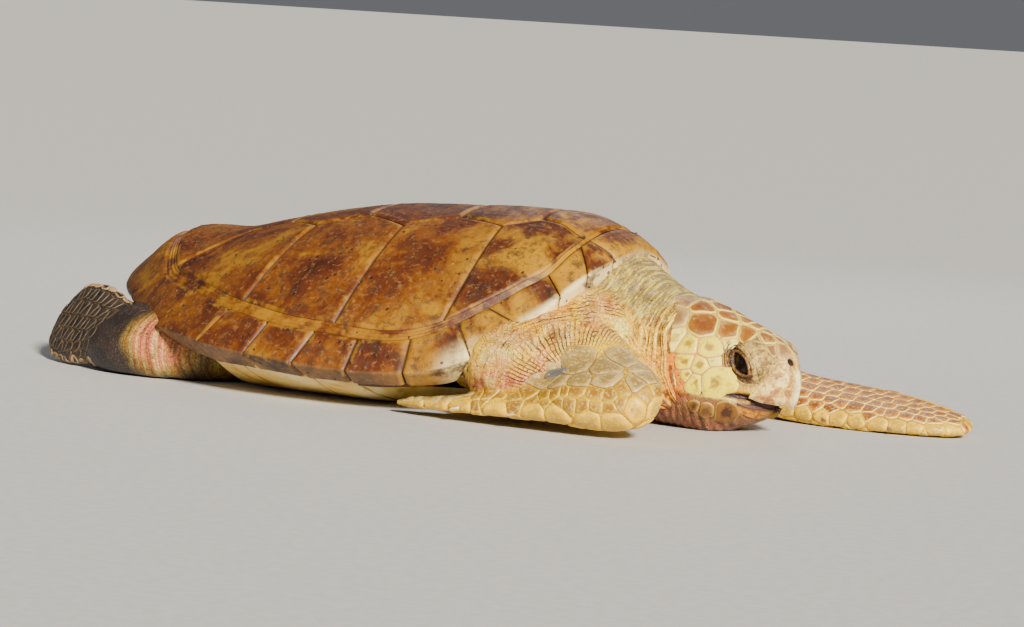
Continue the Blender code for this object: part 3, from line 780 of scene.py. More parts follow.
def wrapped(inner, outer, rows_above=30, rows_below=14):
    """Grid from an inner line in plan out to the rim and back below it: points (line's count, rows, 3)."""
    share = shell_place(outer)[0]
    tooth = curve(share, TOOTH) * (np.linspace(0, 1, len(outer)) - 0.45)
    way = unit(outer - inner)
    tip = outer + way * tooth[:, None]
    reach = np.minimum(curve(share, FOLD), 0.7 * np.linalg.norm(outer - inner, axis=1))
    above, below = crowded(rows_above, 0.5)[None, :, None], np.linspace(0, 1, rows_below + 1)[None, 1:, None]
    top = dome(inner[:, None] + (outer - inner)[:, None] * above)
    top[..., :2] = inner[:, None] + (tip - inner)[:, None] * above
    low = under_rim(outer[:, None] - (way * reach[:, None])[:, None] * below)
    low[..., :2] = tip[:, None] - (way * reach[:, None])[:, None] * below
    grid = join([top, low], 1)
    worn = bell(np.arange(grid.shape[1]) - rows_above, 4.0)[None, 1:-1, None]
    for _ in range(8):
        grid[:, 1:-1] += 0.5 * worn * ((grid[:, :-2] + grid[:, 2:]) / 2 - grid[:, 1:-1])
    return grid


marginals = Shape()
steps = crowded(30, 0.6)
seams = [(nearest(gutter, inner), 40 + nearest(rim[40:], outer)) for inner, outer in MARGINALS]
seams.append((len(gutter) - 1, len(rim) - 1))
for side in (-1, 1):
    for number, ((inner, outer), (next_inner, next_outer)) in enumerate(zip(seams, seams[1:])):
        inner_line = resample(band_plan[inner:next_inner + 1], steps)
        grid = wrapped(inner_line, resample(rim_plan[outer:next_outer + 1], steps))
        if side < 0:
            grid = mirrored(grid)
        plate(marginals, grid, 30 + number + (side > 0) * 13, open_side=3, back=True)
inner_line, outer_line = band_plan[:seams[0][0] + 1], rim_plan[:seams[0][1] + 1]
inner_line = resample(join([mirrored(inner_line)[:0:-1], inner_line]), crowded(60, 0.6))
outer_line = resample(join([mirrored(outer_line)[:0:-1], outer_line]), crowded(60, 0.6))
plate(marginals, wrapped(inner_line, outer_line), 29, open_side=3, back=True)

# %% [markdown]
# ### The gutter and the shell under the plates
#
# Between costals and marginals runs a gutter with two or three fine ridges, wider towards the tail. It is a
# narrow closed strip on each side. Under everything lies the bony shell itself: closed rings across the
# shell, out to the rim above and back in below, so that no seam shows daylight.

# %% The gutter and the bony shell
gutters = Shape()
across_band = np.linspace(-0.2, 1.2, 22)
for side in (-1, 1):
    rows = np.linspace(0, len(gutter) - 1, 420).astype(int)
    strip = gutter_plan[rows, None] + (band_plan - gutter_plan)[rows, None] * across_band[None, :, None]
    top = dome(strip)
    ripple = 0.0012 * np.cos(across_band * 2 * math.pi * 2.5) - 0.0012
    wander = 0.0006 * layered(top * 60, 2, 5)
    top[..., 2] += ripple[None] + wander
    ring = join([top, top[:, ::-1] - np.array([0, 0, 0.004])], 1)
    if side < 0:
        ring = mirrored(ring)
    share = shell_place(ring[..., :2])[0]
    lip = np.tile(np.minimum(across_band + 0.2, 1.2 - across_band), (len(rows), 1)) * 0.006 + 0.001
    gutters.tube(ring, edge=join([lip, lip[:, ::-1]], 1), tone=0.3 + 0 * share, rim=0.85 + 0 * share,
                 front=share, along=ring[..., 0], below=0 * share)

bone = Shape()
shares = (1 - np.cos(np.linspace(0, math.pi, 72))) / 2
shares[0], shares[-1] = 0.002, 0.998
outer_across, inner_across = np.sin(np.linspace(-1, 1, 64) * math.pi / 2), np.linspace(0.84, -0.84, 40)
outer = dome(plan(shares[:, None], outer_across[None] * 0.985))
outer[..., 2] -= 0.0035
lip_height = under_rim(plan(shares[:, None], np.full((1, 1), 1 - RIM_INSET)))[..., 2] + 0.0035
crest = curve(shares, CREST)[:, None] * CREST_HEIGHT - 0.016
inner = np.zeros((72, 40, 3))
inner[..., :2] = plan(shares[:, None], inner_across[None]) * (0.95, 1.0)
inner[..., 2] = lip_height + np.maximum(crest - lip_height, 0.001) * (1 - np.abs(inner_across / 0.84) ** 2.6)
bone.tube(join([outer, inner], 1), edge=0.0, tone=0.5, rim=0.5, front=0.5, along=0.0, below=0.0)

# %% [markdown]
# ### The horn of the plates
#
# The plates are horn: clouded from purple brown through red brown to ochre, streaked along each plate,
# sprinkled with small dark pits and a few specks of dried salt, golden beside the seams and nearly black in
# them. Towards the front rim the horn is worn to cream. Lighter ochre patches towards the front are a painted
# highlight. On the rim's underside, dark stains and cream only at the front also paint the shade under the
# rim. All of that is noise and the stored distances, mixed by colour ramps. The colours of one plate differ a
# little from its neighbour's by its own `tone`.

# %% The shell's finishes
PURPLE, RUST, ORANGE = (0.03, 0.011, 0.008), (0.075, 0.025, 0.009), (0.14, 0.057, 0.017)
OCHRE, GOLD, CREAM = (0.25, 0.135, 0.042), (0.33, 0.185, 0.055), (0.88, 0.74, 0.46)
SEAM = (0.022, 0.01, 0.006)

shell_horn, net = finish("shell_horn", Coat_Roughness=0.35, Specular_IOR_Level=0.35)
shifted = net.add("VectorMath", {0: net.at, 1: net.vector(z="tone")}).outputs[0]
patches = net.group("mottle", Vector=shifted, Scale=9.0, Contrast=2.6)["Value"]
streaks = net.vector(net.times("along", 55.0), net.times("edge", 9.0), "tone")
streaks = net.noise(1.0, 4, 0.6, 0.4, at=streaks)
level = net.plus(net.times(patches, 0.62), net.times(streaks, 0.38))
level = net.plus(level, net.line("tone", 0.16, -0.08))
net.paint(net.ramp(level, (0.22, PURPLE), (0.4, RUST), (0.56, ORANGE), (0.76, OCHRE)))
grime = net.noise(46.0, 6, 0.7, 0.3)
# Painted highlight: lighter ochre patches towards the front of the shell, where the main light falls.
front_highlight = net.times(net.step("front", 0.3, 0.1), net.step(patches, 0.35, 0.7, 0.0, 0.6))
net.paint((0.46, 0.28, 0.09), front_highlight)
net.paint((0.04, 0.023, 0.015), net.step(grime, 0.5, 0.66, 0.0, 0.75))
flakes = net.noise(120.0, 6, 0.75, 0.3)
net.paint((0.24, 0.15, 0.08), net.step(flakes, 0.53, 0.64, 0.0, 0.55))
net.paint((0.045, 0.02, 0.01), net.step(flakes, 0.46, 0.36, 0.0, 0.55))
golden = net.group("band", Distance="edge", Start=0.0035, End=0.006, Soft=0.005)["Mask"]
net.paint(GOLD, net.times(golden, net.step(net.noise(30.0, 3), 0.44, 0.64, 0.0, 0.55)))
worn = net.times(net.step("rim", 0.9, 0.985), net.step("front", 0.205, 0.145))
worn = net.times(worn, net.step(net.noise(22.0, 5, 0.65), 0.3, 0.56))
# Painted shade under the rim: its underside is cream at the front but stays dark along the sides.
pale_below = net.times("below", net.step("front", 0.205, 0.145, 0.06, 0.8))
net.paint(CREAM, net.math("MAXIMUM", worn, pale_below))
# Dark stains on the rim's underside, which also paint the shade that falls there.
stain_and_shade = net.times("below", net.step(net.noise(14.0, 5, 0.7), 0.5, 0.62, 0.0, 0.9))
net.paint((0.035, 0.02, 0.016), stain_and_shade)
pits = net.pits(95.0, 0.22)
net.paint((0.028, 0.014, 0.01), pits, 0.85)
salt = net.step(net.noise(150.0, 5, 0.75), 0.66, 0.72)
salt = net.times(salt, net.step(net.noise(6.0, 3), 0.48, 0.66))
net.paint((0.66, 0.58, 0.48), salt, 0.8)
net.paint(SEAM, net.step("edge", 0.0006, 0.0024, 0.92, 0.0))
height = net.plus(net.times(grime, 0.5), net.times(streaks, 0.4))
height = net.minus(height, net.times(pits, 0.9))
height = net.plus(height, net.times(salt, 0.5))
rough = net.plus(net.step(grime, 0.3, 0.7, 0.4, 0.62), net.times(salt, 0.3), clamp=True)
net.show(rough, height, 0.001)

bone_finish, net = finish("bone", 0.7)
net.paint(net.ramp(net.noise(30.0, 4), (0.3, (0.03, 0.015, 0.008)), (0.7, (0.09, 0.05, 0.025))))
net.show()

vertebrals.build("vertebral_plates", shell_horn, "shell")
costals.build("costal_plates", shell_horn, "shell")
marginals.build("marginal_plates", shell_horn, "shell")
gutters.build("gutter_ridges", shell_horn, "shell")
bone.build("bony_shell", bone_finish, "shell", "carapace")

# %% [markdown]
# ## The soft body
#
# The neck, the four limbs and the tail are lofts along centre lines: at each station the line has a place, a
# width to either edge, a half thickness and a tilt. A few rounded pads fill the corners between them under
# the shell's rim. One voxel remesh welds all of it into a single closed skin, and a little smoothing rounds
# the joins, so that the shoulders grow out of the neck instead of butting against it.

# %% The limbs' lines
# Rows are x, y, z, width to the leading edge, width to the trailing edge and half thickness, all in
# millimetres, and the tilt in degrees.
RIGHT_ARM = [(250, -120, 95, 90, 100, 70, 0), (340, -165, 100, 90, 100, 78, 0),
             (430, -178, 100, 60, 95, 76, 0), (510, -200, 84, 45, 68, 56, 0), (562, -220, 72, 36, 45, 40, 0),
             (594, -233, 66, 22, 20, 20, 0)]
RIGHT_BLADE = [(630, -247, 70, 8, 8, 8, 40), (621, -250, 69, 34, 34, 25, 42), (597, -257, 66, 58, 60, 34, 42),
               (552, -264, 62, 62, 80, 36, 38), (500, -270, 58, 59, 90, 33, 33),
               (455, -273, 47, 52, 50, 22, 26), (350, -282, 30, 38, 28, 13, 14),
               (280, -288, 22, 24, 21, 10, 6), (232, -290, 18, 13, 14, 8, 0), (212, -290, 16, 4, 5, 4, 0)]
LEFT_ARM = [(250, 120, 95, 100, 90, 70, 0), (340, 165, 100, 100, 95, 80, 0), (440, 190, 96, 95, 95, 76, 5),
            (530, 210, 70, 82, 88, 50, 9), (600, 223, 48, 70, 80, 34, 11), (635, 226, 40, 40, 40, 18, 12)]
LEFT_BLADE = [(575, 222, 46, 20, 20, 14, 12), (600, 224, 43, 62, 70, 30, 12), (660, 226, 34, 78, 86, 27, 12),
              (730, 225, 29, 84, 94, 22, 12), (800, 223, 25, 80, 92, 18, 11), (866, 221, 20, 62, 76, 14, 10),
              (912, 220, 15, 38, 50, 11, 9), (934, 219, 11, 10, 12, 5, 8)]
THIGH = [(-150, -110, 66, 80, 80, 50, 0), (-220, -170, 58, 85, 80, 60, 10), (-290, -200, 56, 78, 72, 52, 25),
         (-360, -192, 55, 68, 66, 34, 40), (-410, -175, 58, 50, 50, 18, 50)]
PADDLE = [(-335, -192, 58, 18, 18, 14, 44), (-355, -188, 58, 55, 55, 24, 46),
          (-405, -177, 60, 70, 70, 20, 52), (-450, -160, 63, 76, 80, 15, 56),
          (-490, -140, 65, 70, 74, 12, 58), (-516, -126, 64, 50, 54, 10, 58), (-528, -119, 62, 12, 12, 5, 58)]
TAIL = [(-280, 0, 90, 60, 60, 45, 0), (-400, 0, 68, 38, 38, 30, 0), (-470, 0, 50, 22, 22, 18, 0),
        (-515, 0, 38, 7, 7, 6, 0)]
NECK = [(260, 0, 145, 110, 110, 90, 0), (350, 0, 150, 128, 128, 105, 0), (430, -2, 140, 134, 134, 115, 0),
        (490, -5, 120, 126, 126, 106, 0), (535, -8, 103, 117, 117, 101, 0), (560, -9, 95, 112, 112, 99, 0),
        (570, -9, 93, 104, 104, 92, 0), (572, -9, 93, 90, 90, 80, 0)]


def other_side(rows):
    """The rows of the same limb on the other side."""
    return [(x, -y, *rest) for x, y, *rest in rows]


class Limb:
    """A limb along its centre line; side is 1 on the turtle's left and -1 on its right."""

    def __init__(self, rows, side=1, count=60):
        read = path(np.array(rows) / ([1000] * 6 + [1]), count)
        self.at, self.lead, self.trail, self.half = read[:, :3], read[:, 3], read[:, 4], read[:, 5]
        self.along = unit(np.gradient(self.at, axis=0))
        out = side * unit(np.cross(self.along, (0.0, 0.0, 1.0)))
        normal = np.cross(out, self.along)
        normal *= np.sign(normal[:, 2:3])
        tilt = np.radians(read[:, 6:7])
        self.out = out * np.cos(tilt) - normal * np.sin(tilt)
        self.normal = normal * np.cos(tilt) + out * np.sin(tilt)

    def surface(self, share, angle, swell=0.3, thin=0.001):
        """Points at shares of the limb and angles round it, counted from the leading edge over the back.

        They lie on half ellipses: width x cosine across, half thickness x sine up, thicker in front by swell.
        """
        i = np.round(share * (len(self.at) - 1)).astype(int)
        reach = (np.where(np.cos(angle) > 0, self.lead[i], self.trail[i]) - thin) * np.cos(angle)
        rise = (self.half[i] - thin) * np.sin(angle) * (1 + swell * np.cos(angle))
        return self.at[i] + self.out[i] * reach[..., None] + self.normal[i] * rise[..., None]

    def rings(self, around=40, swell=0.3):
        """Rings of the limb's surface, one at each of its stations."""
        share = np.linspace(0, 1, len(self.at))
        return self.surface(*np.meshgrid(share, ring_angles(around), indexing="ij"), swell)

    def place(self, points):
        """For each point: its share of the limb, its angle and its distance from the line in limb widths."""
        found = [], [], []
        for part in np.array_split(points, max(1, len(points) // 20000)):
            gaps = ((part[:, None] - self.at[None]) ** 2).sum(-1)
            i = gaps.argmin(1)
            offset = part - self.at[i]
            across, rise = (offset * self.out[i]).sum(1), (offset * self.normal[i]).sum(1)
            ahead = (offset * self.along[i]).sum(1)
            width = np.where(across > 0, self.lead[i], self.trail[i])
            found[0].append(i / (len(self.at) - 1))
            found[1].append(np.arctan2(rise / self.half[i], across / width))
            found[2].append(np.sqrt((across / width) ** 2 + (rise / self.half[i]) ** 2
                                    + (ahead / width) ** 2))
        return [join(part) for part in found]


limbs = {"right_arm": Limb(RIGHT_ARM, -1), "right_blade": Limb(RIGHT_BLADE, -1), "left_arm": Limb(LEFT_ARM),
         "left_blade": Limb(LEFT_BLADE), "right_thigh": Limb(THIGH, -1), "right_paddle": Limb(PADDLE, -1),
         "left_thigh": Limb(other_side(THIGH)), "left_paddle": Limb(other_side(PADDLE)), "tail": Limb(TAIL),
         "neck": Limb(NECK)}

# %% [markdown]
# The pads are ellipsoids: (middle, half sizes). They sit between the neck, the shoulders and the shell's rim
# in front, between the thighs and the tail behind, and one slim pad joins front and rear through the middle
# of the shell, where nothing of it is seen.

# %% The skin's first form
PADS = [((0.36, 0, 0.1), (0.09, 0.26, 0.075)), ((0.0, 0, 0.06), (0.36, 0.05, 0.03)),
        ((-0.27, 0, 0.075), (0.09, 0.2, 0.045)), ((0.43, 0.11, 0.12), (0.1, 0.09, 0.085)),
        ((0.43, -0.11, 0.12), (0.1, 0.09, 0.085)), ((0.38, -0.21, 0.085), (0.1, 0.09, 0.065)),
        ((0.38, 0.21, 0.085), (0.1, 0.09, 0.065)), ((-0.3, -0.17, 0.07), (0.08, 0.08, 0.045)),
        ((-0.3, 0.17, 0.07), (0.08, 0.08, 0.045)), ((0.52, -0.1, 0.075), (0.06, 0.05, 0.06)),
        ((0.52, 0.1, 0.075), (0.06, 0.05, 0.06))]
VOXEL, ROUNDS = 0.0065, 8
FLOOR_GAP, LOWEST = 0.001, 0.0008  # no rough form and no skin lies lower
COLLAR_SLANT, COLLAR_HEIGHT = 0.28, 0.12  # how far the neck's front leans forwards below that height

rough_form = Shape()
for name, limb in limbs.items():
    rings = limb.rings(swell=0.0 if name == "neck" else 0.3)
    if name == "neck":
        rings[..., 0] += COLLAR_SLANT * smooth(rings[..., 0], 0.42, 0.56) * (COLLAR_HEIGHT - rings[..., 2])
    rings[..., 2] = np.maximum(rings[..., 2], FLOOR_GAP)
    rough_form.tube(rings)
turns, heights = np.meshgrid(ring_angles(32), np.linspace(-1.5, 1.5, 20))
ball = stack([np.cos(heights) * np.cos(turns), np.cos(heights) * np.sin(turns), np.sin(heights)], -1)
for middle, size in PADS:
    rings = ball * size + middle
    rings[..., 2] = np.maximum(rings[..., 2], FLOOR_GAP)
    rough_form.tube(rings)


def arrays(mesh):
    """A mesh's points, their normals, and its faces as one array for each number of corners."""
    points, normals = np.empty((2, len(mesh.vertices) * 3), np.float32)
    mesh.vertices.foreach_get("co", points)
    mesh.vertices.foreach_get("normal", normals)
    corners, sizes = np.empty(len(mesh.loops), np.int32), np.empty(len(mesh.polygons), np.int32)
    mesh.loops.foreach_get("vertex_index", corners)
    mesh.polygons.foreach_get("loop_total", sizes)
    starts = np.cumsum(sizes) - sizes
    faces = [corners[starts[sizes == k, None] + np.arange(k)] for k in np.unique(sizes)]
    return points.reshape(-1, 3).astype(float), normals.reshape(-1, 3).astype(float), faces


def welded(shape, voxel, rounds):
    """The closed bodies of a shape welded into one mesh by a voxel remesh, then smoothed."""
    mesh = bpy.data.meshes.new("rough")
    faces = [tuple(face) for part in shape.faces for face in part.tolist()]
    mesh.from_pydata(join(shape.points).tolist(), [], faces)
    mesh.update()
    face_outwards(mesh)
    return modified(mesh, REMESH={"mode": "VOXEL", "voxel_size": voxel},
                    SMOOTH={"factor": 0.5, "iterations": rounds})


body_mesh = welded(rough_form, VOXEL, ROUNDS)

# %% [markdown]
# The skin that is seen in front of the shell is split once more, so that its folds are carried by the mesh
# itself. The folds follow two fields: down the neck they run from top to bottom, closest together at the
# collar, and over each shoulder they run in arcs round the elbow. Both fields are stored on the points as
# the distance across the folds, and the material draws its fine creases along the same lines.

# %% Folds and regions
ELBOW = (0.53, 0.27, 0.04)  # on either side
NECK_FOLDS, ELBOW_FOLDS = (0.0135, 0.0083), (0.024, 0.0097)  # a coarse and a fine step each
FOLD_DEPTH = 0.0011
NECK_BACK, NECK_SLANT = 0.15, 0.26  # the folds lean back below that height


def folds(distance, steps, share, shift=0.0):
    """Waves across a distance: a coarse sine and a share of a finer one."""
    coarse, fine = (distance * 2 * math.pi / step for step in steps)
    return np.sin(coarse) + share * np.sin(fine + shift)


editable = bmesh.new()
editable.from_mesh(body_mesh)
wanted = [edge for edge in editable.edges
          if all(0.39 < v.co.x < 0.6 and -0.29 < v.co.y < 0.18 and v.co.z > 0.012 for v in edge.verts)]
bmesh.ops.subdivide_edges(editable, edges=wanted, cuts=1, use_grid_fill=True, smooth=0.4)
editable.to_mesh(body_mesh)
editable.free()
points, normals, body_faces = arrays(body_mesh)
x, y, z = points.T
side_y = np.abs(y)

places = {name: limb.place(points) for name, limb in limbs.items()}
blade = np.minimum(places["right_blade"][2], places["left_blade"][2])
rear = smooth(x, -0.05, -0.2)
blade_near = smooth(blade, 1.45, 1.1) * (1 - rear)
elbow_gap = np.linalg.norm(points - stack([ELBOW[0] + 0 * x, ELBOW[1] * np.sign(y), ELBOW[2] + 0 * x], 1),
                           axis=1)
warp = layered(points * 14, 3, 11)
down_neck = x + NECK_SLANT * np.minimum(z - NECK_BACK, 0) - 0.04 * np.maximum(z - NECK_BACK, 0) + 0.003 * warp
round_elbow = elbow_gap + 0.008 * warp
radial = 0.12 * np.arctan2(z - ELBOW[2], ELBOW[0] - x)
on_neck = smooth(side_y, 0.15, 0.105) * smooth(x, 0.4, 0.47)
shoulder = (1 - on_neck) * (1 - blade_near) * (1 - rear)
top = smooth(z, 0.15, 0.215)
neck_wave = folds(down_neck, NECK_FOLDS, 0.5, 2)
elbow_wave = folds(round_elbow, ELBOW_FOLDS, 0.35)
patchy = 0.65 + 0.45 * noise(points * 22, 4)
collar = smooth(x + COLLAR_SLANT * (z - COLLAR_HEIGHT), 0.5, 0.56)
depth = FOLD_DEPTH * on_neck * (1 - 0.6 * top) * (1 + 0.9 * collar)
lift = depth * neck_wave * patchy + FOLD_DEPTH * shoulder * elbow_wave * patchy
lift += 0.0019 * shoulder * layered(points * 75, 3, 8)
lift += 0.0016 * (1 - blade_near) * layered(points * 40, 3, 21) * (1 - 0.3 * rear)
points = points + normals * lift[:, None]
points[:, 2] = np.maximum(points[:, 2], LOWEST)

# %% The body's values for its material
ARMPIT, ARMPIT_SIZE = np.array([0.4, 0.25, 0.05]), (0.085, 0.07, 0.055)  # an ellipsoid on either side
GROIN, GROIN_SIZE = np.array([-0.235, -0.21, 0.06]), (0.07, 0.12, 0.06)

x, y, z = points.T
side_y = np.abs(y)
armpit = np.linalg.norm((stack([x, side_y, z], 1) - ARMPIT) / ARMPIT_SIZE, axis=1)
pink = smooth(armpit + 0.25 * warp, 1.35, 0.8) * (1 - blade_near)
low_neck = smooth(z + 0.02 * warp, 0.075, 0.015) * on_neck
pink = np.maximum(pink, 0.9 * low_neck)
groin = np.linalg.norm((points - GROIN) / GROIN_SIZE, axis=1)
pink = np.maximum(pink, smooth(groin + 0.2 * warp, 1.1, 0.5) * rear)
olive = smooth(z + 0.02 * warp, 0.125, 0.185) * smooth(x, 0.4, 0.46) * smooth(side_y, 0.14, 0.1)
mauve = shoulder * smooth(z + 0.25 * side_y + 0.03 * warp, 0.145, 0.195)
skin_shape = Shape()
# dark marks the skin behind the shell's middle, which the material paints near black as shade.
skin_shape.add(points, body_faces, olive=olive, pink=pink, amber=blade_near, dark=rear, neck=on_neck,
               across_neck=down_neck, across_arm=round_elbow, radial=radial, mauve=mauve, shoulder=shoulder)

# %% [markdown]
# ## The head
#
# The head has its own frame: `u` forwards from the back of the skull, `v` to the turtle's left, `w` up. Its
# plain form is a row of rings between three curves, the top, the underside and the half width. On that form
# come the eye's swelling, the slanting opening between the lids, the mouth and the nostrils. The back of the
# head is tucked into the fold of the neck.

# %% The head's plain form
HEAD_AT, HEAD_LENGTH = (0.5, -0.008, 0.116), 0.25
HEAD_PITCH, HEAD_TURN = math.radians(7), math.radians(-3)
MIDDLE_SHARE = 0.45  # the widest level's share of the height
HEAD_TOP = [(0, 66), (40, 82), (70, 86), (100, 81), (130, 73), (160, 66), (188, 59), (208, 51), (225, 41),
            (237, 29), (246, 12), (250, -6)]
HEAD_UNDER = [(0, -85), (50, -112), (130, -110), (165, -92), (190, -79), (213, -70), (228, -60), (243, -47),
              (250, -28)]
HEAD_SIDE = [(0, 84), (50, 96), (100, 94), (140, 83), (180, 64), (210, 46), (235, 29), (247, 14), (250, 5)]


def head_point(local):
    """From the head's own frame to the turtle's."""
    u, v, w = (local[..., k] for k in range(3))
    forward = u * math.cos(HEAD_PITCH) + w * math.sin(HEAD_PITCH)
    up = w * math.cos(HEAD_PITCH) - u * math.sin(HEAD_PITCH)
    x = forward * math.cos(HEAD_TURN) - v * math.sin(HEAD_TURN)
    y = forward * math.sin(HEAD_TURN) + v * math.cos(HEAD_TURN)
    return stack([x + HEAD_AT[0], y + HEAD_AT[1], up + HEAD_AT[2]], -1)


def head_form(u, angle):
    """The plain head's points for distances forwards and angles round it (0 left, 90 degrees on top).

    Each ring is half an ellipse above its widest level and another below, squared a little below.
    """
    top, under, side = (curve(u, table) for table in (HEAD_TOP, HEAD_UNDER, HEAD_SIDE))
    sine, cosine = np.sin(angle), np.cos(angle)
    middle = under + MIDDLE_SHARE * (top - under)
    w = np.where(sine > 0, middle + (top - middle) * sine, middle + (middle - under) * sine)
    v = side * squared_wave(cosine, np.where(sine > 0, 0.95, 0.8))
    return stack([u + 0 * v, v, w], -1)


def half_width(u, w):
    """The plain head's half width at places in its side view."""
    top, under, side = (curve(u, table) for table in (HEAD_TOP, HEAD_UNDER, HEAD_SIDE))
    middle = under + MIDDLE_SHARE * (top - under)
    sine = np.clip(np.where(w > middle, (w - middle) / (top - middle), (middle - w) / (middle - under)), 0, 1)
    return side * (1 - sine**2) ** np.where(w > middle, 0.475, 0.4)


# %% [markdown]
# The eye's swelling is part of a ball, pushed out along its own axis. The opening is an almond in the side
# view. `opening` gives 1 on its edge, less inside it and more outside, and the lids' rolls follow that value.
# Below the mouth the jaw is drawn in behind the beak's hook.

# %% Eye, mouth and nostrils
SWELL_AT, SWELL_RADIUS = np.array([0.1865, 0.0405, 0.016]), 0.033
SWELL_AXIS = unit(np.array([0.2, 0.95, 0.22]))
SLIT_AT, SLIT_HALF, SLIT_TURN = (0.182, 0.015), (0.02, 0.0122), math.radians(-43)
SLIT_POWER = 1.7
MOUTH = [(115, -41), (180, -37), (214, -39), (234, -39), (252, -44)]
MOUTH_WIDTH, MOUTH_DEPTH = 0.0026, 0.0042
NOSTRIL, NOSTRIL_WIDTH, NOSTRIL_DEPTH = (0.2375, 0.0105, 0.0275), 0.0066, 0.01


def opening(u, w):
    """How far out a place in the side view is from the middle of the eye's opening."""
    du, dw = u - SLIT_AT[0], w - SLIT_AT[1]
    s = du * math.cos(SLIT_TURN) + dw * math.sin(SLIT_TURN)
    t = dw * math.cos(SLIT_TURN) - du * math.sin(SLIT_TURN)
    power = SLIT_POWER
    return ((np.abs(s) / SLIT_HALF[0]) ** power + (np.abs(t) / SLIT_HALF[1]) ** power) ** (1 / power)


def right_as_left(local):
    """The head's points with those of the right side mirrored to the left."""
    return np.abs(local) * (1, 1, 0) + local * (0, 0, 1)


def swollen(local):
    """Points of the head pushed out along the swelling's axis to its ball, softly, on both sides alike."""
    side = np.sign(local[..., 1:2]) + (local[..., 1:2] == 0)
    mirror = join([side * 0 + 1, side, side * 0 + 1], -1)
    folded = local * mirror
    offset = folded - SWELL_AT
    height = (offset * SWELL_AXIS).sum(-1)
    reach = np.sqrt(np.maximum((offset**2).sum(-1) - height**2, 0))
    target = np.sqrt(np.maximum(SWELL_RADIUS**2 - reach**2, 0)) - 0.5 * np.maximum(reach - SWELL_RADIUS, 0)
    target = np.where(reach < SWELL_RADIUS + 0.02, target, -1)
    push = (target - height + np.sqrt((target - height) ** 2 + 0.004**2)) / 2 - 0.0003
    push = np.clip(push, 0, None) * smooth(reach, SWELL_RADIUS + 0.012, SWELL_RADIUS - 0.004)
    folded = folded + SWELL_AXIS * push[..., None]
    return folded * mirror


AROUND, RINGS_ALONG = 176, 140
JAW_FROM, JAW_SHORTER = 0.19, 0.4  # the lower jaw's length in front of a place is cut by that share


def jaw_share(w):
    """0 above the mouth and 1 on the lower jaw."""
    return smooth(w, -0.039, -0.048)


u = HEAD_LENGTH * np.sin(np.linspace(0.19, math.pi / 2, RINGS_ALONG))[:, None]
angle = ring_angles(AROUND)[None]
local = head_form(u, angle)
local[..., 0] -= jaw_share(local[..., 2]) * np.maximum(local[..., 0] - JAW_FROM, 0) * JAW_SHORTER
local = swollen(local)
u, side_v, w = local[..., 0], np.abs(local[..., 1]), local[..., 2]
ways_out = grid_normals(join([local[:, -1:], local, local[:, :1]], 1))[:, 1:-1]
ways_out *= np.sign((ways_out * (local - (0.1, 0, -0.02))).sum(-1).mean())
e = opening(u, w) + 9 * (side_v < 0.03)
mouth = np.array(MOUTH) / 1000
mouth_gap = np.min([np.hypot(*(local[..., ::2] - (a + (b - a) * t)).transpose(2, 0, 1))
                    for a, b in zip(mouth, mouth[1:]) for t in np.linspace(0, 1, 20)], axis=0)
nostril_gap = np.linalg.norm((right_as_left(local) - NOSTRIL) / (1, 0.9, 0.8), axis=-1)
sunk = 0.0075 * smooth(e, 1.02, 0.86)
rolls = 0.0007 * np.sin(e * 9.5) * smooth(e, 2.8, 1.6) * smooth(e, 1.05, 1.3)
wide = 1 + 1.5 * smooth(u, 0.16, 0.19)
gape = bell(mouth_gap, MOUTH_WIDTH * wide)
lift = rolls - sunk - MOUTH_DEPTH * wide * gape
lift -= NOSTRIL_DEPTH * bell(nostril_gap, NOSTRIL_WIDTH)
lift += 0.0016 * bell(nostril_gap - 0.0105, 0.0032)
outer = head_point(local)
texture = layered(outer * 55, 3, 31)
lift += 0.0006 * texture * smooth(e, 0.9, 1.2)
throat = smooth(w, -0.05, -0.07) * smooth(u, 0.2, 0.17)
lift += 0.0011 * throat * np.sin(u * 520 + 2.5 * noise(outer * 30, 3))
head_points = head_point(local + ways_out * lift[..., None])
head_points[..., 2] = np.maximum(head_points[..., 2], LOWEST)

behind_eye = smooth(u + 0.8 * w, 0.205, 0.18)
lid = bell(np.maximum(e - 1, 0), 0.32 + 0.85 * behind_eye) * (side_v > 0.03)
swell = smooth(np.linalg.norm(right_as_left(local) - SWELL_AT, axis=-1), 0.041, 0.034)
orange = smooth(u - 0.35 * w, 0.15, 0.115) * smooth(w, 0.05, 0.02)
pink = np.maximum(throat, smooth(w, -0.04, -0.049) * 0.95)
snout = smooth(u + 0.3 * w, 0.185, 0.215)
# gape also widens round the mouth's corner and the nostrils, where the material paints shade.
gape = np.maximum(gape, smooth(mouth_gap, 0.013, 0.009) * smooth(u, 0.19, 0.206))
gape = np.maximum(gape, smooth(nostril_gap, 0.0082, 0.006))
olive = smooth(w, 0.055, 0.075) * smooth(u, 0.085, 0.05)
head_marks = dict(olive=olive, pink=pink * (1 - 0.6 * snout), lid=lid, face=1.0, snout=snout,
                  across_neck=u + 0.2 * w, across_arm=w, neck=0.3 * throat, orange=orange * (1 - throat),
                  gape=gape, swell=swell)

# %% [markdown]
# The lids' edges are rolls of skin laid round the opening on the swelling: a dark wet one at the edge and
# wrinkled ones outside it, which stand out most behind and below the eye.

# %% The head's mesh, with the lids' rolls
head_shape = Shape()
head_shape.tube(head_points, **head_marks)
turn = ring_angles(72)
ROLLS = [(1.06, 0.0021, 0.0004, 0.62), (1.3, 0.0019, 0.001, 0.95), (1.53, 0.0019, 0.001, 0.6),
         (1.77, 0.0019, 0.0008, 0.45), (2.02, 0.0018, 0.0004, 0.32)]  # (place, thickness, height, darkness)


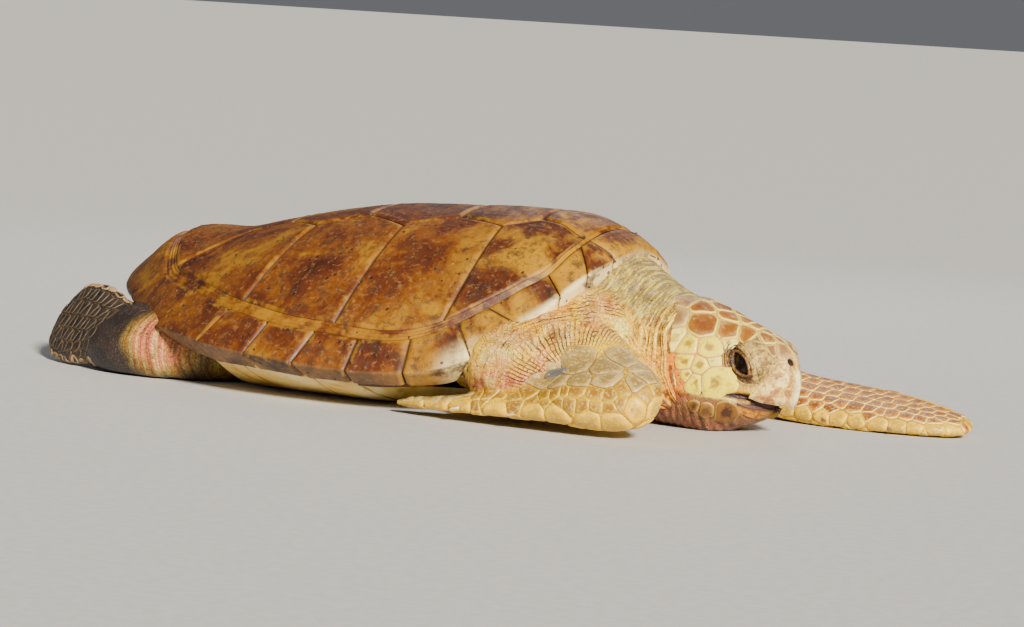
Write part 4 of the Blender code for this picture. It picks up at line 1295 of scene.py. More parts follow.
def lid_line(value, height):
    """Points on the swelling round the opening, in the head's frame, with the way out of the head."""
    s = SLIT_HALF[0] * value * squared_wave(np.cos(turn), 2 / SLIT_POWER)
    t = SLIT_HALF[1] * value * squared_wave(np.sin(turn), 2 / SLIT_POWER)
    du = SLIT_AT[0] + s * math.cos(SLIT_TURN) - t * math.sin(SLIT_TURN) - SWELL_AT[0]
    dw = SLIT_AT[1] + s * math.sin(SLIT_TURN) + t * math.cos(SLIT_TURN) - SWELL_AT[2]
    v = np.sqrt(np.maximum(SWELL_RADIUS**2 - du**2 - dw**2, 1e-6))
    v = np.maximum(v, half_width(du + SWELL_AT[0], dw + SWELL_AT[2]) - SWELL_AT[1])
    out = unit(stack([du * 0.8, v + 0.006, dw * 0.8], 1))
    return SWELL_AT + stack([du, v, dw], 1) + out * height[:, None], out


for side in (-1, 1):
    for value, thickness, height, darkness in ROLLS:
        behind = smooth(np.cos(turn - math.radians(235)), -0.6, 0.7)
        wave = value + 0.03 * np.sin(turn * 5 + value * 9) * (value > 1.1)
        line, out = lid_line(wave, height - (value > 1.1) * 0.0028 * (1 - behind))
        along = unit(np.roll(line, -1, 0) - np.roll(line, 1, 0))
        across = np.cross(out, along)
        round_ = ring_angles(8)[None, :, None]
        thick = thickness * (1 + 0.15 * np.sin(turn * 7 + value * 5))[:, None, None]
        ring = line[:, None] + thick * (np.cos(round_) * across[:, None] + np.sin(round_) * out[:, None])
        ring = head_point(ring * (1, side, 1))
        head_shape.hoop(ring, lid=darkness, face=1.0, swell=1.0)

# %% [markdown]
# ### Eyes and beak
#
# Each eye is the front of a ball a little inside the lids. The horn of the upper beak is a sheet bent round
# the snout: its columns run round from one corner of the mouth to the other and its rows from the cutting
# edge up to the nostrils. The lower beak is a narrower sheet on the jaw. Both stand proud of the skin in
# their middle and dip into it at their borders.

# %% The eyes
eye_finish, net = finish("eye_wet", 0.2, Coat_Weight=0.1, Coat_Roughness=0.08, Specular_IOR_Level=0.15)
net.paint(net.ramp("pupil", (0.3, (0.005, 0.004, 0.004)), (0.45, (0.02, 0.011, 0.007)),
                   (0.8, (0.014, 0.008, 0.006)), (0.95, (0.008, 0.006, 0.005))))
net.show()

EYE_BALL = SWELL_RADIUS - 0.0034
look = unit(np.array([SLIT_AT[0] - SWELL_AT[0] + 0.001, EYE_BALL, SLIT_AT[1] - SWELL_AT[2]]))
sideways = unit(np.cross(look, (0, 0, 1)))
upwards = np.cross(sideways, look)
for side_name, side in (("right", -1), ("left", 1)):
    away, turn = np.meshgrid(np.linspace(0.02, 0.8, 24), ring_angles(48), indexing="ij")
    way = (look * np.cos(away)[..., None] + sideways * (np.sin(away) * np.cos(turn))[..., None]
           + upwards * (np.sin(away) * np.sin(turn))[..., None])
    eye = Shape()
    eye.tube(head_point((SWELL_AT + way * EYE_BALL) * (1, side, 1)), pupil=away / 0.8)
    eye.build(f"eye_{side_name}_ball", eye_finish, "eye", f"eye_{side_name}")

# %% The beak
# (height, how far forwards the snout reaches there)
SNOUT = [(-60, 227), (-50, 240), (-44, 247), (-30, 250), (-10, 250.5), (5, 248.5), (18, 243.5), (31, 236)]
CHIN = [(-72, 212), (-62, 221), (-54, 226.2), (-46, 227.2), (-38, 225.5)]


def bent_sheet(low, high, back, front, draw_in, rise, columns=90, rows=34):
    """A sheet round the snout between two lines (forwards, up), as a grid in the head's frame."""
    across = np.linspace(-1, 1, columns)[None]
    share = np.cos(across * math.pi / 2) ** 0.9
    up = crowded(rows, 0.5)[:, None]
    start, end = (curve(line[0][0] / 1000 + (line[-1][0] / 1000 - line[0][0] / 1000) * share, line)
                  for line in (low, high))
    w = start + (end - start) * up
    behind = back[0] + (back[1] - back[0]) * up
    u = behind + (curve(w, front) - behind) * share
    plain = JAW_FROM + (u - JAW_FROM) / (1 - JAW_SHORTER * draw_in * jaw_share(w))
    reach = half_width(np.clip(plain, 0, 0.2499), w) * (1 - share**6) ** 0.5
    grid = stack([u, np.sign(across) * reach, w], -1)
    normals = grid_normals(grid)
    normals *= np.sign((normals * (grid - (0.15, 0, -0.02))).sum(-1).mean())
    edges = np.minimum(np.minimum(1 - np.abs(across), up * 0 + 1), (1 - up) * 0.8)
    proud = rise * (smooth(edges, 0, 0.14) * 1.5 - 0.5)
    return grid + normals * proud[..., None], normals, up + 0 * across, np.abs(across) + 0 * up


upper = bent_sheet([(196, -35.5), (214, -38.5), (234, -39), (242.5, -45.5)],
                   [(203, -13), (217, -1), (231, 11), (244, 19)], (0.197, 0.204), SNOUT, 0, 0.0024)
lower = bent_sheet([(184, -61), (203, -66), (219, -66)], [(184, -46), (208, -47.5), (226, -48)],
                   (0.184, 0.184), CHIN, 1, 0.002)
beak_horn, net = finish("beak_horn", Coat_Roughness=0.3)
stripes = net.noise(1.0, 5, 0.6, 0.3, at=net.place((60, 60, 320)))
cloud = net.noise(62.0, 6, 0.72, 0.4)
net.paint(net.ramp(cloud, (0.4, (0.32, 0.17, 0.09)), (0.5, (0.6, 0.4, 0.19)), (0.58, (0.84, 0.71, 0.38))))
net.paint((0.92, 0.85, 0.6), net.step("round", 0.34, 0.12), 0.8)
low_edge = net.step("up", net.line("round", 0.3, 0.12), 0.05)
edge_dark = net.times(low_edge, net.step(cloud, 0.35, 0.5, 1.0, 0.6))
net.paint((0.13, 0.055, 0.04), edge_dark, 0.75)
net.paint((0.4, 0.2, 0.14), net.step(stripes, 0.55, 0.7), 0.35)
horn_base = net.mix(net.step("round", 0.35, 0.8), (0.13, 0.085, 0.03), (0.5, 0.24, 0.09))
lower_horn = net.mix(net.step(cloud, 0.53, 0.44, 0.0, 0.75), horn_base, (0.1, 0.05, 0.025))
net.paint(net.mix(net.step("up", 0.55, 0.85), lower_horn, (0.06, 0.028, 0.022)), "lower")
height = net.plus(net.times(cloud, 0.6), net.times(stripes, 0.4))
net.show((cloud, 0.3, 0.5), height, 0.0012)
beak = Shape()
for number, (grid, normals, up, round_) in enumerate((upper, lower)):
    inner = head_point(grid - normals * 0.005)
    beak.slab(head_point(grid), inner, up=up, round=round_, lower=float(number) + 0 * up)
beak.build("beak", beak_horn, "horn", "upper_beak")

# %% [markdown]
# ### The skin's finish
#
# The skin is yellow and cream in streaks that follow the folds, olive grey on top of the neck, pink in the
# armpit and under the throat, amber on the front flippers and nearly black behind, which is painted shade.
# Its creases are fine dark lines of painted shade, and the mouth and nostrils are painted dark as shade.

# %% The skin's material
YELLOW, STRAW, PALE = (0.5, 0.22, 0.016), (0.82, 0.55, 0.055), (0.95, 0.82, 0.36)
OLIVE, SLATE, PINK, MAUVE = (0.21, 0.17, 0.07), (0.29, 0.26, 0.18), (0.52, 0.2, 0.14), (0.27, 0.1, 0.08)
# HIND is the near black of the painted shade behind; CREASE darkens the creases as painted shade and colours
# the specks.
CREASE, HIND = (0.085, 0.032, 0.018), (0.012, 0.008, 0.007)

skin_finish, net = finish("skin", Subsurface_Weight=0.06, Subsurface_Radius=(0.006, 0.003, 0.0015),
                          Subsurface_Scale=1.0)
wobble = net.noise(45.0, 4, 0.6)


def creases(mark, step, wander, seed):
    """Thin lines at even steps of a stored distance, broken up by noise: 1 in the crease."""
    moved = net.line(wobble, wander, mark)
    wave = net.math("SINE", net.line(moved, 2 * math.pi / step, seed))
    return net.step(wave, 0.38, 0.92)


neck_lines = net.math("MAXIMUM", creases("across_neck", 0.0068, 0.006, 0.0),
                      creases("across_neck", 0.0109, 0.009, 1.0))
arm_lines = net.times(creases("across_arm", 0.0083, 0.016, 0.0), net.step(net.noise(24.0, 3), 0.5, 0.62))
fan_share = net.step("across_arm", 0.17, 0.12)
fan_lines = net.times(creases("radial", 0.0056, 0.006, 1.0), fan_share)
arm_lines = net.math("MAXIMUM", arm_lines, fan_lines)
neck_share = net.times("neck", net.line("olive", -0.7, 1.0))
lines = net.plus(net.times(neck_lines, neck_share), net.times(arm_lines, "shoulder"), clamp=True)
shake = net.add("TexNoise", {"Vector": net.at, "Scale": 40.0}).outputs["Color"]
bent = net.add("Mix", {0: 0.02, 4: net.at, 5: shake}, data_type="VECTOR").outputs[1]
cross_lines = net.add("TexVoronoi", {"Vector": bent, "Scale": 130.0}, feature="DISTANCE_TO_EDGE")
cross_lines = net.step(cross_lines.outputs["Distance"], 0.02, 0.1, 1.0, 0.0)
broken = net.step(net.noise(28.0, 3), 0.4, 0.58)
lines = net.times(lines, net.step(net.noise(60.0, 3), 0.34, 0.56, 0.15, 1.0))


def streaks_along(first, first_scale, second, second_scale):
    """Noise stretched along the folds: dense across one stored distance and slow across another."""
    at = net.vector(net.times(first, first_scale), net.times(second, second_scale))
    return net.noise(1.0, 3, 0.6, at=at)


streak = streaks_along("across_neck", 230.0, "across_arm", 26.0)
arm_streak = streaks_along("across_arm", 170.0, "across_neck", 20.0)
streak = net.plus(net.times(streak, "neck"), net.times(arm_streak, net.minus(1.0, "neck")))
net.paint(net.ramp(streak, (0.4, YELLOW), (0.5, STRAW), (0.6, PALE)))
patchwork = net.ramp(net.noise(15.0, 5, 0.62), (0.36, (0.66, 0.32, 0.025)), (0.48, (0.9, 0.6, 0.07)),
                     (0.6, (0.97, 0.84, 0.36)))
patchwork = net.mix(net.step(streak, 0.56, 0.38, 0.0, 0.35), patchwork, (0.62, 0.28, 0.08))
net.paint(patchwork, "shoulder")
mauve = net.times(net.step(net.noise(26.0, 5, 0.65), 0.34, 0.6), "mauve")
net.paint(net.ramp(net.noise(80.0, 4), (0.38, (0.3, 0.13, 0.085)), (0.62, (0.66, 0.42, 0.26))), mauve, 0.72)
olive_share = net.times("olive", net.step(streak, 0.62, 0.36, 0.45, 1.0))
net.paint(net.ramp(net.noise(70.0, 5, 0.7), (0.35, OLIVE), (0.65, SLATE)), olive_share)
pinkish = net.times("pink", net.step(net.noise(90.0, 4), 0.35, 0.55, 0.45, 0.95))
net.paint(net.ramp(streak, (0.38, MAUVE), (0.52, PINK), (0.66, (0.72, 0.44, 0.3))), pinkish)
net.paint(net.ramp(net.noise(25.0, 4), (0.38, (0.5, 0.3, 0.04)), (0.62, (0.76, 0.53, 0.11))), "amber")
up_high = net.add("SeparateXYZ", {0: net.at}).outputs[2]
flushed = net.times(net.step(up_high, 0.15, 0.065, 0.0, 0.8), "neck")
flushed = net.times(flushed, net.step(streak, 0.66, 0.44, 0.25, 1.0))
net.paint((0.66, 0.25, 0.035), flushed)
# Painted shade: the skin behind the middle of the shell, with the tail and hind limbs, is near black for the
# shade it lies in.
hind = net.ramp(net.noise(30.0, 5, 0.65), (0.35, HIND), (0.66, (0.036, 0.024, 0.018)))
net.paint(hind, net.times("dark", net.minus(1.0, pinkish)))
specks = net.pits(140.0, 0.25)
net.paint(CREASE, specks, 0.7)
# Painted shade: the creases along the folds are painted dark as if shade lay in them.
net.paint(CREASE, lines, 0.95)
body_colour = net.colour
net.paint(net.ramp(net.noise(42.0, 4, 0.6), (0.35, (0.6, 0.36, 0.1)), (0.62, (0.86, 0.68, 0.28))))
net.paint(net.ramp(net.noise(60.0, 4), (0.35, (0.5, 0.15, 0.01)), (0.6, (0.8, 0.36, 0.035))), "orange", 0.85)
net.paint(net.ramp(net.noise(75.0, 5, 0.65), (0.38, (0.06, 0.022, 0.018)), (0.62, (0.22, 0.08, 0.06))),
          "pink", 0.92)
net.paint(net.ramp(net.noise(62.0, 6, 0.72), (0.4, (0.3, 0.16, 0.09)), (0.5, (0.58, 0.39, 0.2)),
                   (0.58, (0.8, 0.66, 0.36))), "snout", 0.8)
net.paint(SLATE, "olive", 0.9)
net.paint(net.ramp(net.noise(110.0, 5, 0.7), (0.38, (0.16, 0.1, 0.045)), (0.6, (0.62, 0.46, 0.23))), "swell",
          0.85)
net.paint(net.ramp(net.noise(150.0, 5, 0.7), (0.4, (0.03, 0.013, 0.009)), (0.54, (0.15, 0.07, 0.035)),
                   (0.66, (0.46, 0.3, 0.18))), net.step("lid", 0.1, 0.75))
net.paint((0.012, 0.006, 0.005), net.step("lid", 0.88, 0.99))
# Painted shade: the mouth's slit and the nostrils are painted nearly black.
net.paint((0.03, 0.011, 0.01), net.step("gape", 0.15, 0.75))
net.colour = net.mix("face", body_colour, net.colour)
net_share = net.line("mauve", 0.3, 0.08)
# Painted shade: the fine net of wrinkles is painted dark too.
net.paint(CREASE, net.times(net.times(cross_lines, broken), net_share))
grain = net.noise(330.0, 4, 0.6)
height = net.plus(net.times(lines, -1.0), net.times(grain, 0.35))
height = net.minus(height, net.times(cross_lines, 0.3))
net.show((grain, 0.42, 0.62), height, 0.0032)

skin_shape.take(head_shape)
skin_shape.build("skin", skin_finish, "skin", "trunk", "neck", "tail", "head", "lower_jaw", "front_arm_right",
                 "front_flipper_right", "front_arm_left", "front_flipper_left", "hind_leg_right",
                 "hind_flipper_right", "hind_leg_left", "hind_flipper_left")

# %% [markdown]
# ## Scales
#
# Head shields and flipper scales are many-sided cells with pale seams between them. Each scale starts as a
# seed on the skin with a radius. In the seed's tangent plane the cell reaches, in each direction, to the
# line halfway to the next seed (shifted by the two radii), and no farther than about twice its own radius.
# Its rings walk outwards over the skin, laid on it by a shrinkwrap after each step, so that a scale can bend
# round an edge, and are then raised into a low dome.

# %% Cells round seeds
RINGS = [(0.0, 1.0), (0.6, 0.97), (0.9, 0.78), (1.0, 0.0)]  # (share of the reach, share of the height)


def on_skin(points):
    """The nearest places on the skin."""
    mesh = bpy.data.meshes.new("laid")
    mesh.from_pydata(points.reshape(-1, 3).tolist(), [], [])
    laid = modified(mesh, SHRINKWRAP={"target": pieces["skin"]})
    found = np.empty(len(laid.vertices) * 3, np.float32)
    laid.vertices.foreach_get("co", found)
    return found.reshape(points.shape).astype(float)


def scale_sheet(name, finish, seeds, replaced=(), gap=0.0006, height=0.0013, directions=20, sharpness=16,
                reach_in=0.007):
    """One object with a scale at every seed. seeds holds arrays: place, out, along, radius, kind and uv."""
    place = on_skin(seeds["place"])
    seen = np.linalg.norm(place - seeds["place"], axis=1) < reach_in
    seeds, place, count = {key: values[seen] for key, values in seeds.items()}, place[seen], seen.sum()
    out, radius = seeds["out"], seeds["radius"]
    ahead = unit(seeds["along"] - out * (seeds["along"] * out).sum(1, keepdims=True))
    aside = np.cross(out, ahead)
    turn = ring_angles(directions)
    gaps = place[None] - place[:, None]
    flat = stack([(gaps * ahead[:, None]).sum(-1), (gaps * aside[:, None]).sum(-1)], -1)
    flattened = np.maximum(np.linalg.norm(flat, axis=-1, keepdims=True), 1e-6)
    flat *= np.linalg.norm(gaps, axis=-1, keepdims=True) / flattened
    near = (flat**2).sum(-1) + radius[:, None] ** 2 - radius[None] ** 2
    facing = flat @ stack([np.cos(turn), np.sin(turn)])
    beside = (np.abs(gaps).sum(-1) > 1e-9) & (np.linalg.norm(gaps, axis=-1) < 5 * radius[:, None])
    beside &= (out[None] * out[:, None]).sum(-1) > -0.2
    inverse = np.where(beside[..., None] & (facing > 1e-5), 2 * facing / np.maximum(near, 1e-6)[..., None], 0)
    inverse = (inverse**sharpness).sum(1) + (1 / (1.9 * radius[:, None])) ** sharpness
    reach = np.maximum(inverse ** (-1 / sharpness) - gap / 2, 0.0006)
    spoke = ahead[:, None] * np.cos(turn)[:, None] + aside[:, None] * np.sin(turn)[:, None]
    rings = [np.repeat(place[:, None], directions, 1)]
    for (before, _), (share, _) in zip(RINGS, RINGS[1:]):
        rings.append(on_skin(rings[-1] + spoke * (reach * (share - before))[..., None]))
        spoke = unit(rings[-1] - rings[-2])
    laid = join([place[:, None]] + rings[1:], 1)
    size = reach.mean(1)[:, None]
    rise = height * np.clip(size / 0.009, 0.5, 1.5)
    tops = join([np.full((1, 1), RINGS[0][1])] + [np.full((1, directions), r) for s, r in RINGS[1:]], 1)
    lifted = laid + out[:, None] * (rise * tops)[..., None]
    buried = laid[:, -directions:] - out[:, None] * 0.0022
    hub = laid[:, :1] - out[:, None] * 0.0035
    shares = join([[0.0]] + [[share] * directions for share, r in RINGS[1:]] + [[1.0] * directions, [0.0]])
    each = np.arange(directions)
    after = np.roll(each, -1)
    quads = join([stack([1 + k * directions + each, 1 + k * directions + after,
                         1 + (k + 1) * directions + after, 1 + (k + 1) * directions + each], 1)
                  for k in range(len(RINGS) - 1)])
    last = 1 + len(RINGS[1:]) * directions
    ends = join([fan(1 + each, 0)[:, ::-1], fan(last + each, last + directions)])
    points = join([lifted, buried, hub], 1)
    start = (np.arange(count) * points.shape[1])[:, None, None]
    reaches = join([size] + [reach] * len(RINGS) + [size], 1)
    tone = 0.5 + 0.5 * noise(np.arange(count)[:, None] * np.array([[1.37, 0.71, 2.11]]), 9)
    shape = Shape()
    shape.add(points, [(quads[None] + start).reshape(-1, 4), (ends[None] + start).reshape(-1, 3)],
              edge=((1 - shares) * reaches).ravel(), inner=np.tile(shares, count),
              kind=np.repeat(seeds["kind"], points.shape[1]), tone=np.repeat(tone, points.shape[1]))
    made = shape.build(name, finish, "skin", *replaced, turn_out=False)
    disc = stack([np.tile(np.cos(turn), len(RINGS)), np.tile(np.sin(turn), len(RINGS))], 1)
    disc = join([[[0, 0]], disc, [[0, 0]]]) * shares[:, None] * 0.0015
    corners = np.empty(len(made.data.loops), np.int32)
    made.data.loops.foreach_get("vertex_index", corners)
    patches = (seeds["uv"][:, None] + disc[None]).reshape(-1, 2)[corners]
    made.data.uv_layers.new(name="OFBake").data.foreach_set("uv", patches.astype(np.float32).ravel())
    return made


def joined(*parts):
    """One set of seeds from several."""
    return {key: join([part[key] for part in parts]) for key in parts[0]}


# %% [markdown]
# The head's shields are placed one by one, as on the animal: (distance forwards, angle above the side,
# radius, kind) in millimetres and degrees, the same on both sides, with a few on the midline. The kinds are
# brown, orange brown, grey pink, yellow with an olive middle, pale and the jaw's amber.

# %% The head's shields
BROWN, RUSTY, GREY_PINK, YELLOW_OLIVE, PALE_KIND, JAW = (k / 6 for k in (0, 1, 2, 3, 4, 6))
SHIELDS = [(106, 51, 24, BROWN), (139, 57, 19, RUSTY), (167, 63, 14, RUSTY), (194, 71, 13, RUSTY),
           (219, 70, 10, GREY_PINK), (60, 47, 18, GREY_PINK), (84, 71, 16, BROWN), (60, 72, 14, GREY_PINK),
           (99, 29, 16, YELLOW_OLIVE), (128, 34, 19, YELLOW_OLIVE), (76, 31, 14, PALE_KIND),
           (105, 15, 11, YELLOW_OLIVE), (125, 15, 15, YELLOW_OLIVE), (139, 22, 9, PALE_KIND),
           (125, 2, 13, YELLOW_OLIVE), (148, 4, 21, YELLOW_OLIVE), (111, 5, 7, YELLOW_OLIVE),
           (125, -25, 6, JAW), (141, -29, 8, JAW), (166, -38, 12, JAW), (150, 45, 8, PALE_KIND),
           (184, 58, 8, GREY_PINK), (207, 57, 8, GREY_PINK), (126, 79, 12, RUSTY)]
MIDLINE = [(74, 90, 13, GREY_PINK), (101, 90, 17, BROWN), (146, 90, 12, RUSTY), (166, 90, 10, RUSTY),
           (184, 90, 9, GREY_PINK), (204, 90, 8, GREY_PINK)]


def head_seeds():
    """The shields' seeds on the head's plain form, both sides and the midline."""
    rows = [(u, lift, radius, kind, side) for u, lift, radius, kind in SHIELDS for side in (-1, 1)]
    rows += [(u, lift, radius, kind, 1) for u, lift, radius, kind in MIDLINE]
    u, lift, radius, kind, side = np.array(rows).T
    u, angle = u / 1000, np.where(side > 0, np.radians(lift), math.pi - np.radians(lift))
    here, ahead, round_ = head_form(u, angle), head_form(u + 0.002, angle), head_form(u, angle + 0.03)
    place = head_point(here)
    along, across = head_point(ahead) - place, head_point(round_) - place
    out = unit(np.cross(along, across))
    middle = head_point(stack([u, 0 * u, 0 * u - 0.02], 1))
    out *= np.sign((out * (place - middle)).sum(1, keepdims=True))
    uv = stack([0.05 + 0.3 * u / HEAD_LENGTH, 0.05 + 0.35 * ((angle / (2 * math.pi)) % 1)], 1)
    return dict(place=place, out=out, along=along, radius=radius / 1000, kind=kind, uv=uv)


shield_finish, net = finish("head_shields", Coat_Weight=0.05)
cloud = net.noise(70.0, 6, 0.65, 0.4)
plain = net.ramp("kind", (0.02, (0.25, 0.12, 0.045)), (0.17, (0.33, 0.17, 0.055)), (0.33, (0.4, 0.28, 0.16)),
                 (0.5, (0.9, 0.75, 0.15)), (0.67, (0.92, 0.82, 0.34)), (0.83, (0.66, 0.32, 0.06)),
                 (1.0, (0.17, 0.085, 0.018)))
dark = net.ramp("kind", (0.02, (0.15, 0.055, 0.025)), (0.17, (0.21, 0.09, 0.03)), (0.33, (0.22, 0.13, 0.075)),
                (0.5, (0.3, 0.21, 0.02)), (0.67, (0.58, 0.48, 0.18)), (0.83, (0.38, 0.13, 0.03)),
                (1.0, (0.045, 0.018, 0.008)))
spot = net.plus(net.times("inner", 0.9), net.line(cloud, 1.3, -0.65))
brownish = net.step("kind", 0.45, 0.35)
spot = net.plus(spot, net.times(net.step("kind", 0.9, 1.0), -0.1))
core = net.step(spot, net.line(brownish, 0.35, 0.5), net.line(brownish, 0.1, 0.12))
net.paint(net.mix(core, plain, dark))
net.paint(dark, net.step(cloud, 0.5, 0.36, 0.0, 0.45))
# On the brown shields these are bleached patches.
bleached_and_sunlit = net.times(net.step(net.noise(62.0, 5, 0.75), 0.53, 0.66), brownish)
net.paint((0.56, 0.4, 0.27), bleached_and_sunlit, 0.45)
pale_rim = net.step("edge", 0.0042, 0.0014)
rim_share = net.ramp("kind", (0.17, (0.85, 0.85, 0.85)), (0.33, (0.35, 0.35, 0.35)),
                     (0.5, (0.85, 0.85, 0.85)), (0.83, (0.85, 0.85, 0.85)), (1.0, (0.2, 0.2, 0.2)))
net.paint((0.86, 0.72, 0.3), net.times(pale_rim, rim_share))
crack = net.step("edge", 0.0007, 0.0002)
net.paint((0.28, 0.17, 0.09), crack, 0.75)
net.paint((0.45, 0.28, 0.12), net.step("tone", 0.3, 1.0, 0.0, 0.16))
specks = net.pits(150.0, 0.14)
net.paint((0.16, 0.08, 0.045), specks, 0.55)
height = net.plus(cloud, net.times(net.noise(300.0, 3), 0.4))
net.show((cloud, 0.38, 0.56), height, 0.0009)
scale_sheet("head_shields", shield_finish, head_seeds(), directions=28, gap=0.0005)

# %% [markdown]
# The flippers' scales lie in rows along the limb. A row is (angle round the limb from the leading edge over
# the back, spacing, radius, kind). Seeds that come too close to an earlier one are dropped, so that the rows
# thin out towards the tip.

# %% The flippers' scales
def row_seeds(limb, rows, part=(0.0, 1.0), corner=(0.0, 0.0), seed=1, wobble=0.25):
    """Seeds along rows of a limb, thinned out where they crowd."""
    fine = np.linspace(*part, len(limb.at))
    parts = []
    for number, (angle, spacing, radius, kind) in enumerate(rows):
        line = limb.surface(fine, np.full(fine.shape, math.radians(angle)))
        way = walked(line)
        count = max(2, int(way[-1] / (spacing / 1000)))
        shake = noise(stack([np.arange(count) * 1.9, np.full(count, number * 2.3), np.full(count, 0.5)], 1),
                      seed)
        stops = (np.arange(count) + 0.25 + 0.5 * (number % 2) + wobble * shake) * way[-1] / count
        share = np.interp(stops, way, fine)
        turn = math.radians(angle) + 0.08 * np.roll(shake, 3)
        size = radius / 1000 * (1 + 0.18 * np.roll(shake, 5))
        parts.append(stack([share, turn, size, np.full(count, kind)], 1))
    share, turn, radius, kind = join(parts).T
    place = limb.surface(share, turn)
    kept = []
    for k in range(len(place)):
        if all(np.linalg.norm(place[k] - place[j]) > 0.62 * (radius[k] + radius[j]) for j in kept):
            kept.append(k)
    share, turn, radius, kind, place = share[kept], turn[kept], radius[kept], kind[kept], place[kept]
    i = np.round(share * (len(limb.at) - 1)).astype(int)
    across = limb.surface(share, turn + 0.05) - limb.surface(share, turn - 0.05)
    step = 1 / (len(limb.at) - 1)
    along = limb.surface(np.clip(share + step, 0, 1), turn) - limb.surface(np.clip(share - step, 0, 1), turn)
    out = unit(np.cross(along, across))
    out *= np.sign((out * (place - limb.at[i])).sum(1, keepdims=True))
    uv = stack([corner[0] + 0.25 * share, corner[1] + 0.22 * ((turn / (2 * math.pi)) % 1)], 1)
    return dict(place=place, out=out, along=along, radius=radius, kind=kind, uv=uv)


# A row is (angle, spacing, radius, kind) with the two lengths in millimetres.
BRIGHT, AMBER, GREY, DARK = 0.0, 1 / 3, 2 / 3, 1.0
UNDER_KINDS = {-42: BRIGHT, -66: AMBER, -90: BRIGHT, -115: AMBER, -140: AMBER, -165: BRIGHT}
UNDER_ROWS = [(angle, 26, 15, kind) for angle, kind in UNDER_KINDS.items()]
NEAR_ROWS = [(-3, 40, 23, BRIGHT), (107, 48, 24, GREY), (136, 50, 26, GREY), (84, 36, 18, GREY),
             (165, 42, 22, GREY), (28, 20, 11.5, AMBER), (41, 18, 10.3, AMBER), (53, 18, 10.3, AMBER),
             (66, 21, 12, AMBER), *UNDER_ROWS]
WRIST_ROWS = [(-3, 36, 21, BRIGHT), (30, 30, 18, BRIGHT), (56, 26, 15.5, AMBER), (80, 26, 16, GREY),
              (104, 28, 17, GREY), (128, 28, 17, GREY), (152, 28, 17, GREY), (176, 26, 16, GREY), *UNDER_ROWS]
FAR_ROWS = [(4, 30, 17.5, BRIGHT), (178, 32, 18.5, BRIGHT), (32, 23, 13.5, DARK), (150, 26, 15, DARK),
            (54, 21, 12, DARK), (75, 21, 12, DARK), (96, 21, 12, DARK), (120, 22, 12.8, DARK),
            (-30, 24, 13.5, BRIGHT), (-62, 24, 13.5, AMBER), (-95, 24, 13.5, BRIGHT), (-128, 26, 14.5, AMBER),
            (-158, 26, 14.5, BRIGHT)]
HIND_ROWS = [(2, 20, 11.5, 1.0), (178, 20, 11.5, 1.0), (25, 15, 8.8, 0.9), (155, 15, 8.8, 0.9),
             (45, 13, 7.6, 0.8), (65, 13, 7.6, 0.9), (85, 13, 7.6, 0.8), (105, 13, 7.6, 0.9),
             (130, 13, 7.6, 0.8), (-30, 18, 10.5, 0.9), (-60, 16, 9.5, 0.8), (-90, 16, 9.5, 0.9),
             (-120, 16, 9.5, 0.8), (-150, 18, 10.5, 0.9)]

scale_finish, net = finish("flipper_scales", Coat_Weight=0.1, Coat_Roughness=0.2)
cloud = net.noise(60.0, 6, 0.65, 0.4)
light = net.ramp("kind", (0.0, (0.84, 0.54, 0.026)), (1 / 3, (0.46, 0.29, 0.03)), (2 / 3, (0.5, 0.38, 0.2)),
                 (1.0, (0.46, 0.22, 0.02)))
dark = net.ramp("kind", (0.0, (0.5, 0.33, 0.02)), (1 / 3, (0.27, 0.15, 0.014)), (2 / 3, (0.27, 0.19, 0.09)),
                (1.0, (0.2, 0.08, 0.012)))
spot = net.plus(net.times("inner", 0.8), net.line(cloud, 1.4, -0.7))
spot = net.plus(spot, net.line("tone", 0.5, -0.25))
net.paint(net.mix(net.step(spot, 0.8, 0.25), light, dark))
flecks = net.step(net.noise(230.0, 3), 0.52, 0.64, 0.0, 0.35)
net.paint((0.8, 0.69, 0.4), flecks)
rim_pale = net.step("edge", 0.0016, 0.0004)
border = net.ramp("kind", (0.3, (0.66, 0.5, 0.11)), (0.6, (0.12, 0.055, 0.03)), (0.75, (0.12, 0.055, 0.03)),
                  (1.0, (0.9, 0.78, 0.42)))
net.paint(border, rim_pale, 0.85)
specks = net.pits(170.0, 0.16)
net.paint((0.12, 0.06, 0.03), specks, 0.6)
height = net.plus(cloud, net.times(net.noise(260.0, 3), 0.5))
net.show((cloud, 0.34, 0.55), height, 0.0009)

hind_finish, net = finish("hind_scales")
cloud = net.noise(45.0, 6, 0.65, 0.4)
# Painted shade: the hind flippers' scales are near black for the shade they lie in.
net.paint(net.ramp(cloud, (0.36, (0.01, 0.008, 0.007)), (0.6, (0.032, 0.023, 0.018))))
# Painted sunlight: the edge rows get full pale rims and pale patches for their sunlit fringe; the other rows
# get faint pale rims.
pale = net.times(net.step("kind", 0.93, 1.0, 0.25, 1.0), net.step("edge", 0.0035, 0.0005))
net.paint((0.22, 0.16, 0.09), pale)
bleached_and_sunlit = net.times(net.step("kind", 0.93, 1.0), net.step(cloud, 0.44, 0.54))
net.paint((0.42, 0.29, 0.19), bleached_and_sunlit, 0.8)
net.show((cloud, 0.45, 0.6), cloud, 0.0009)

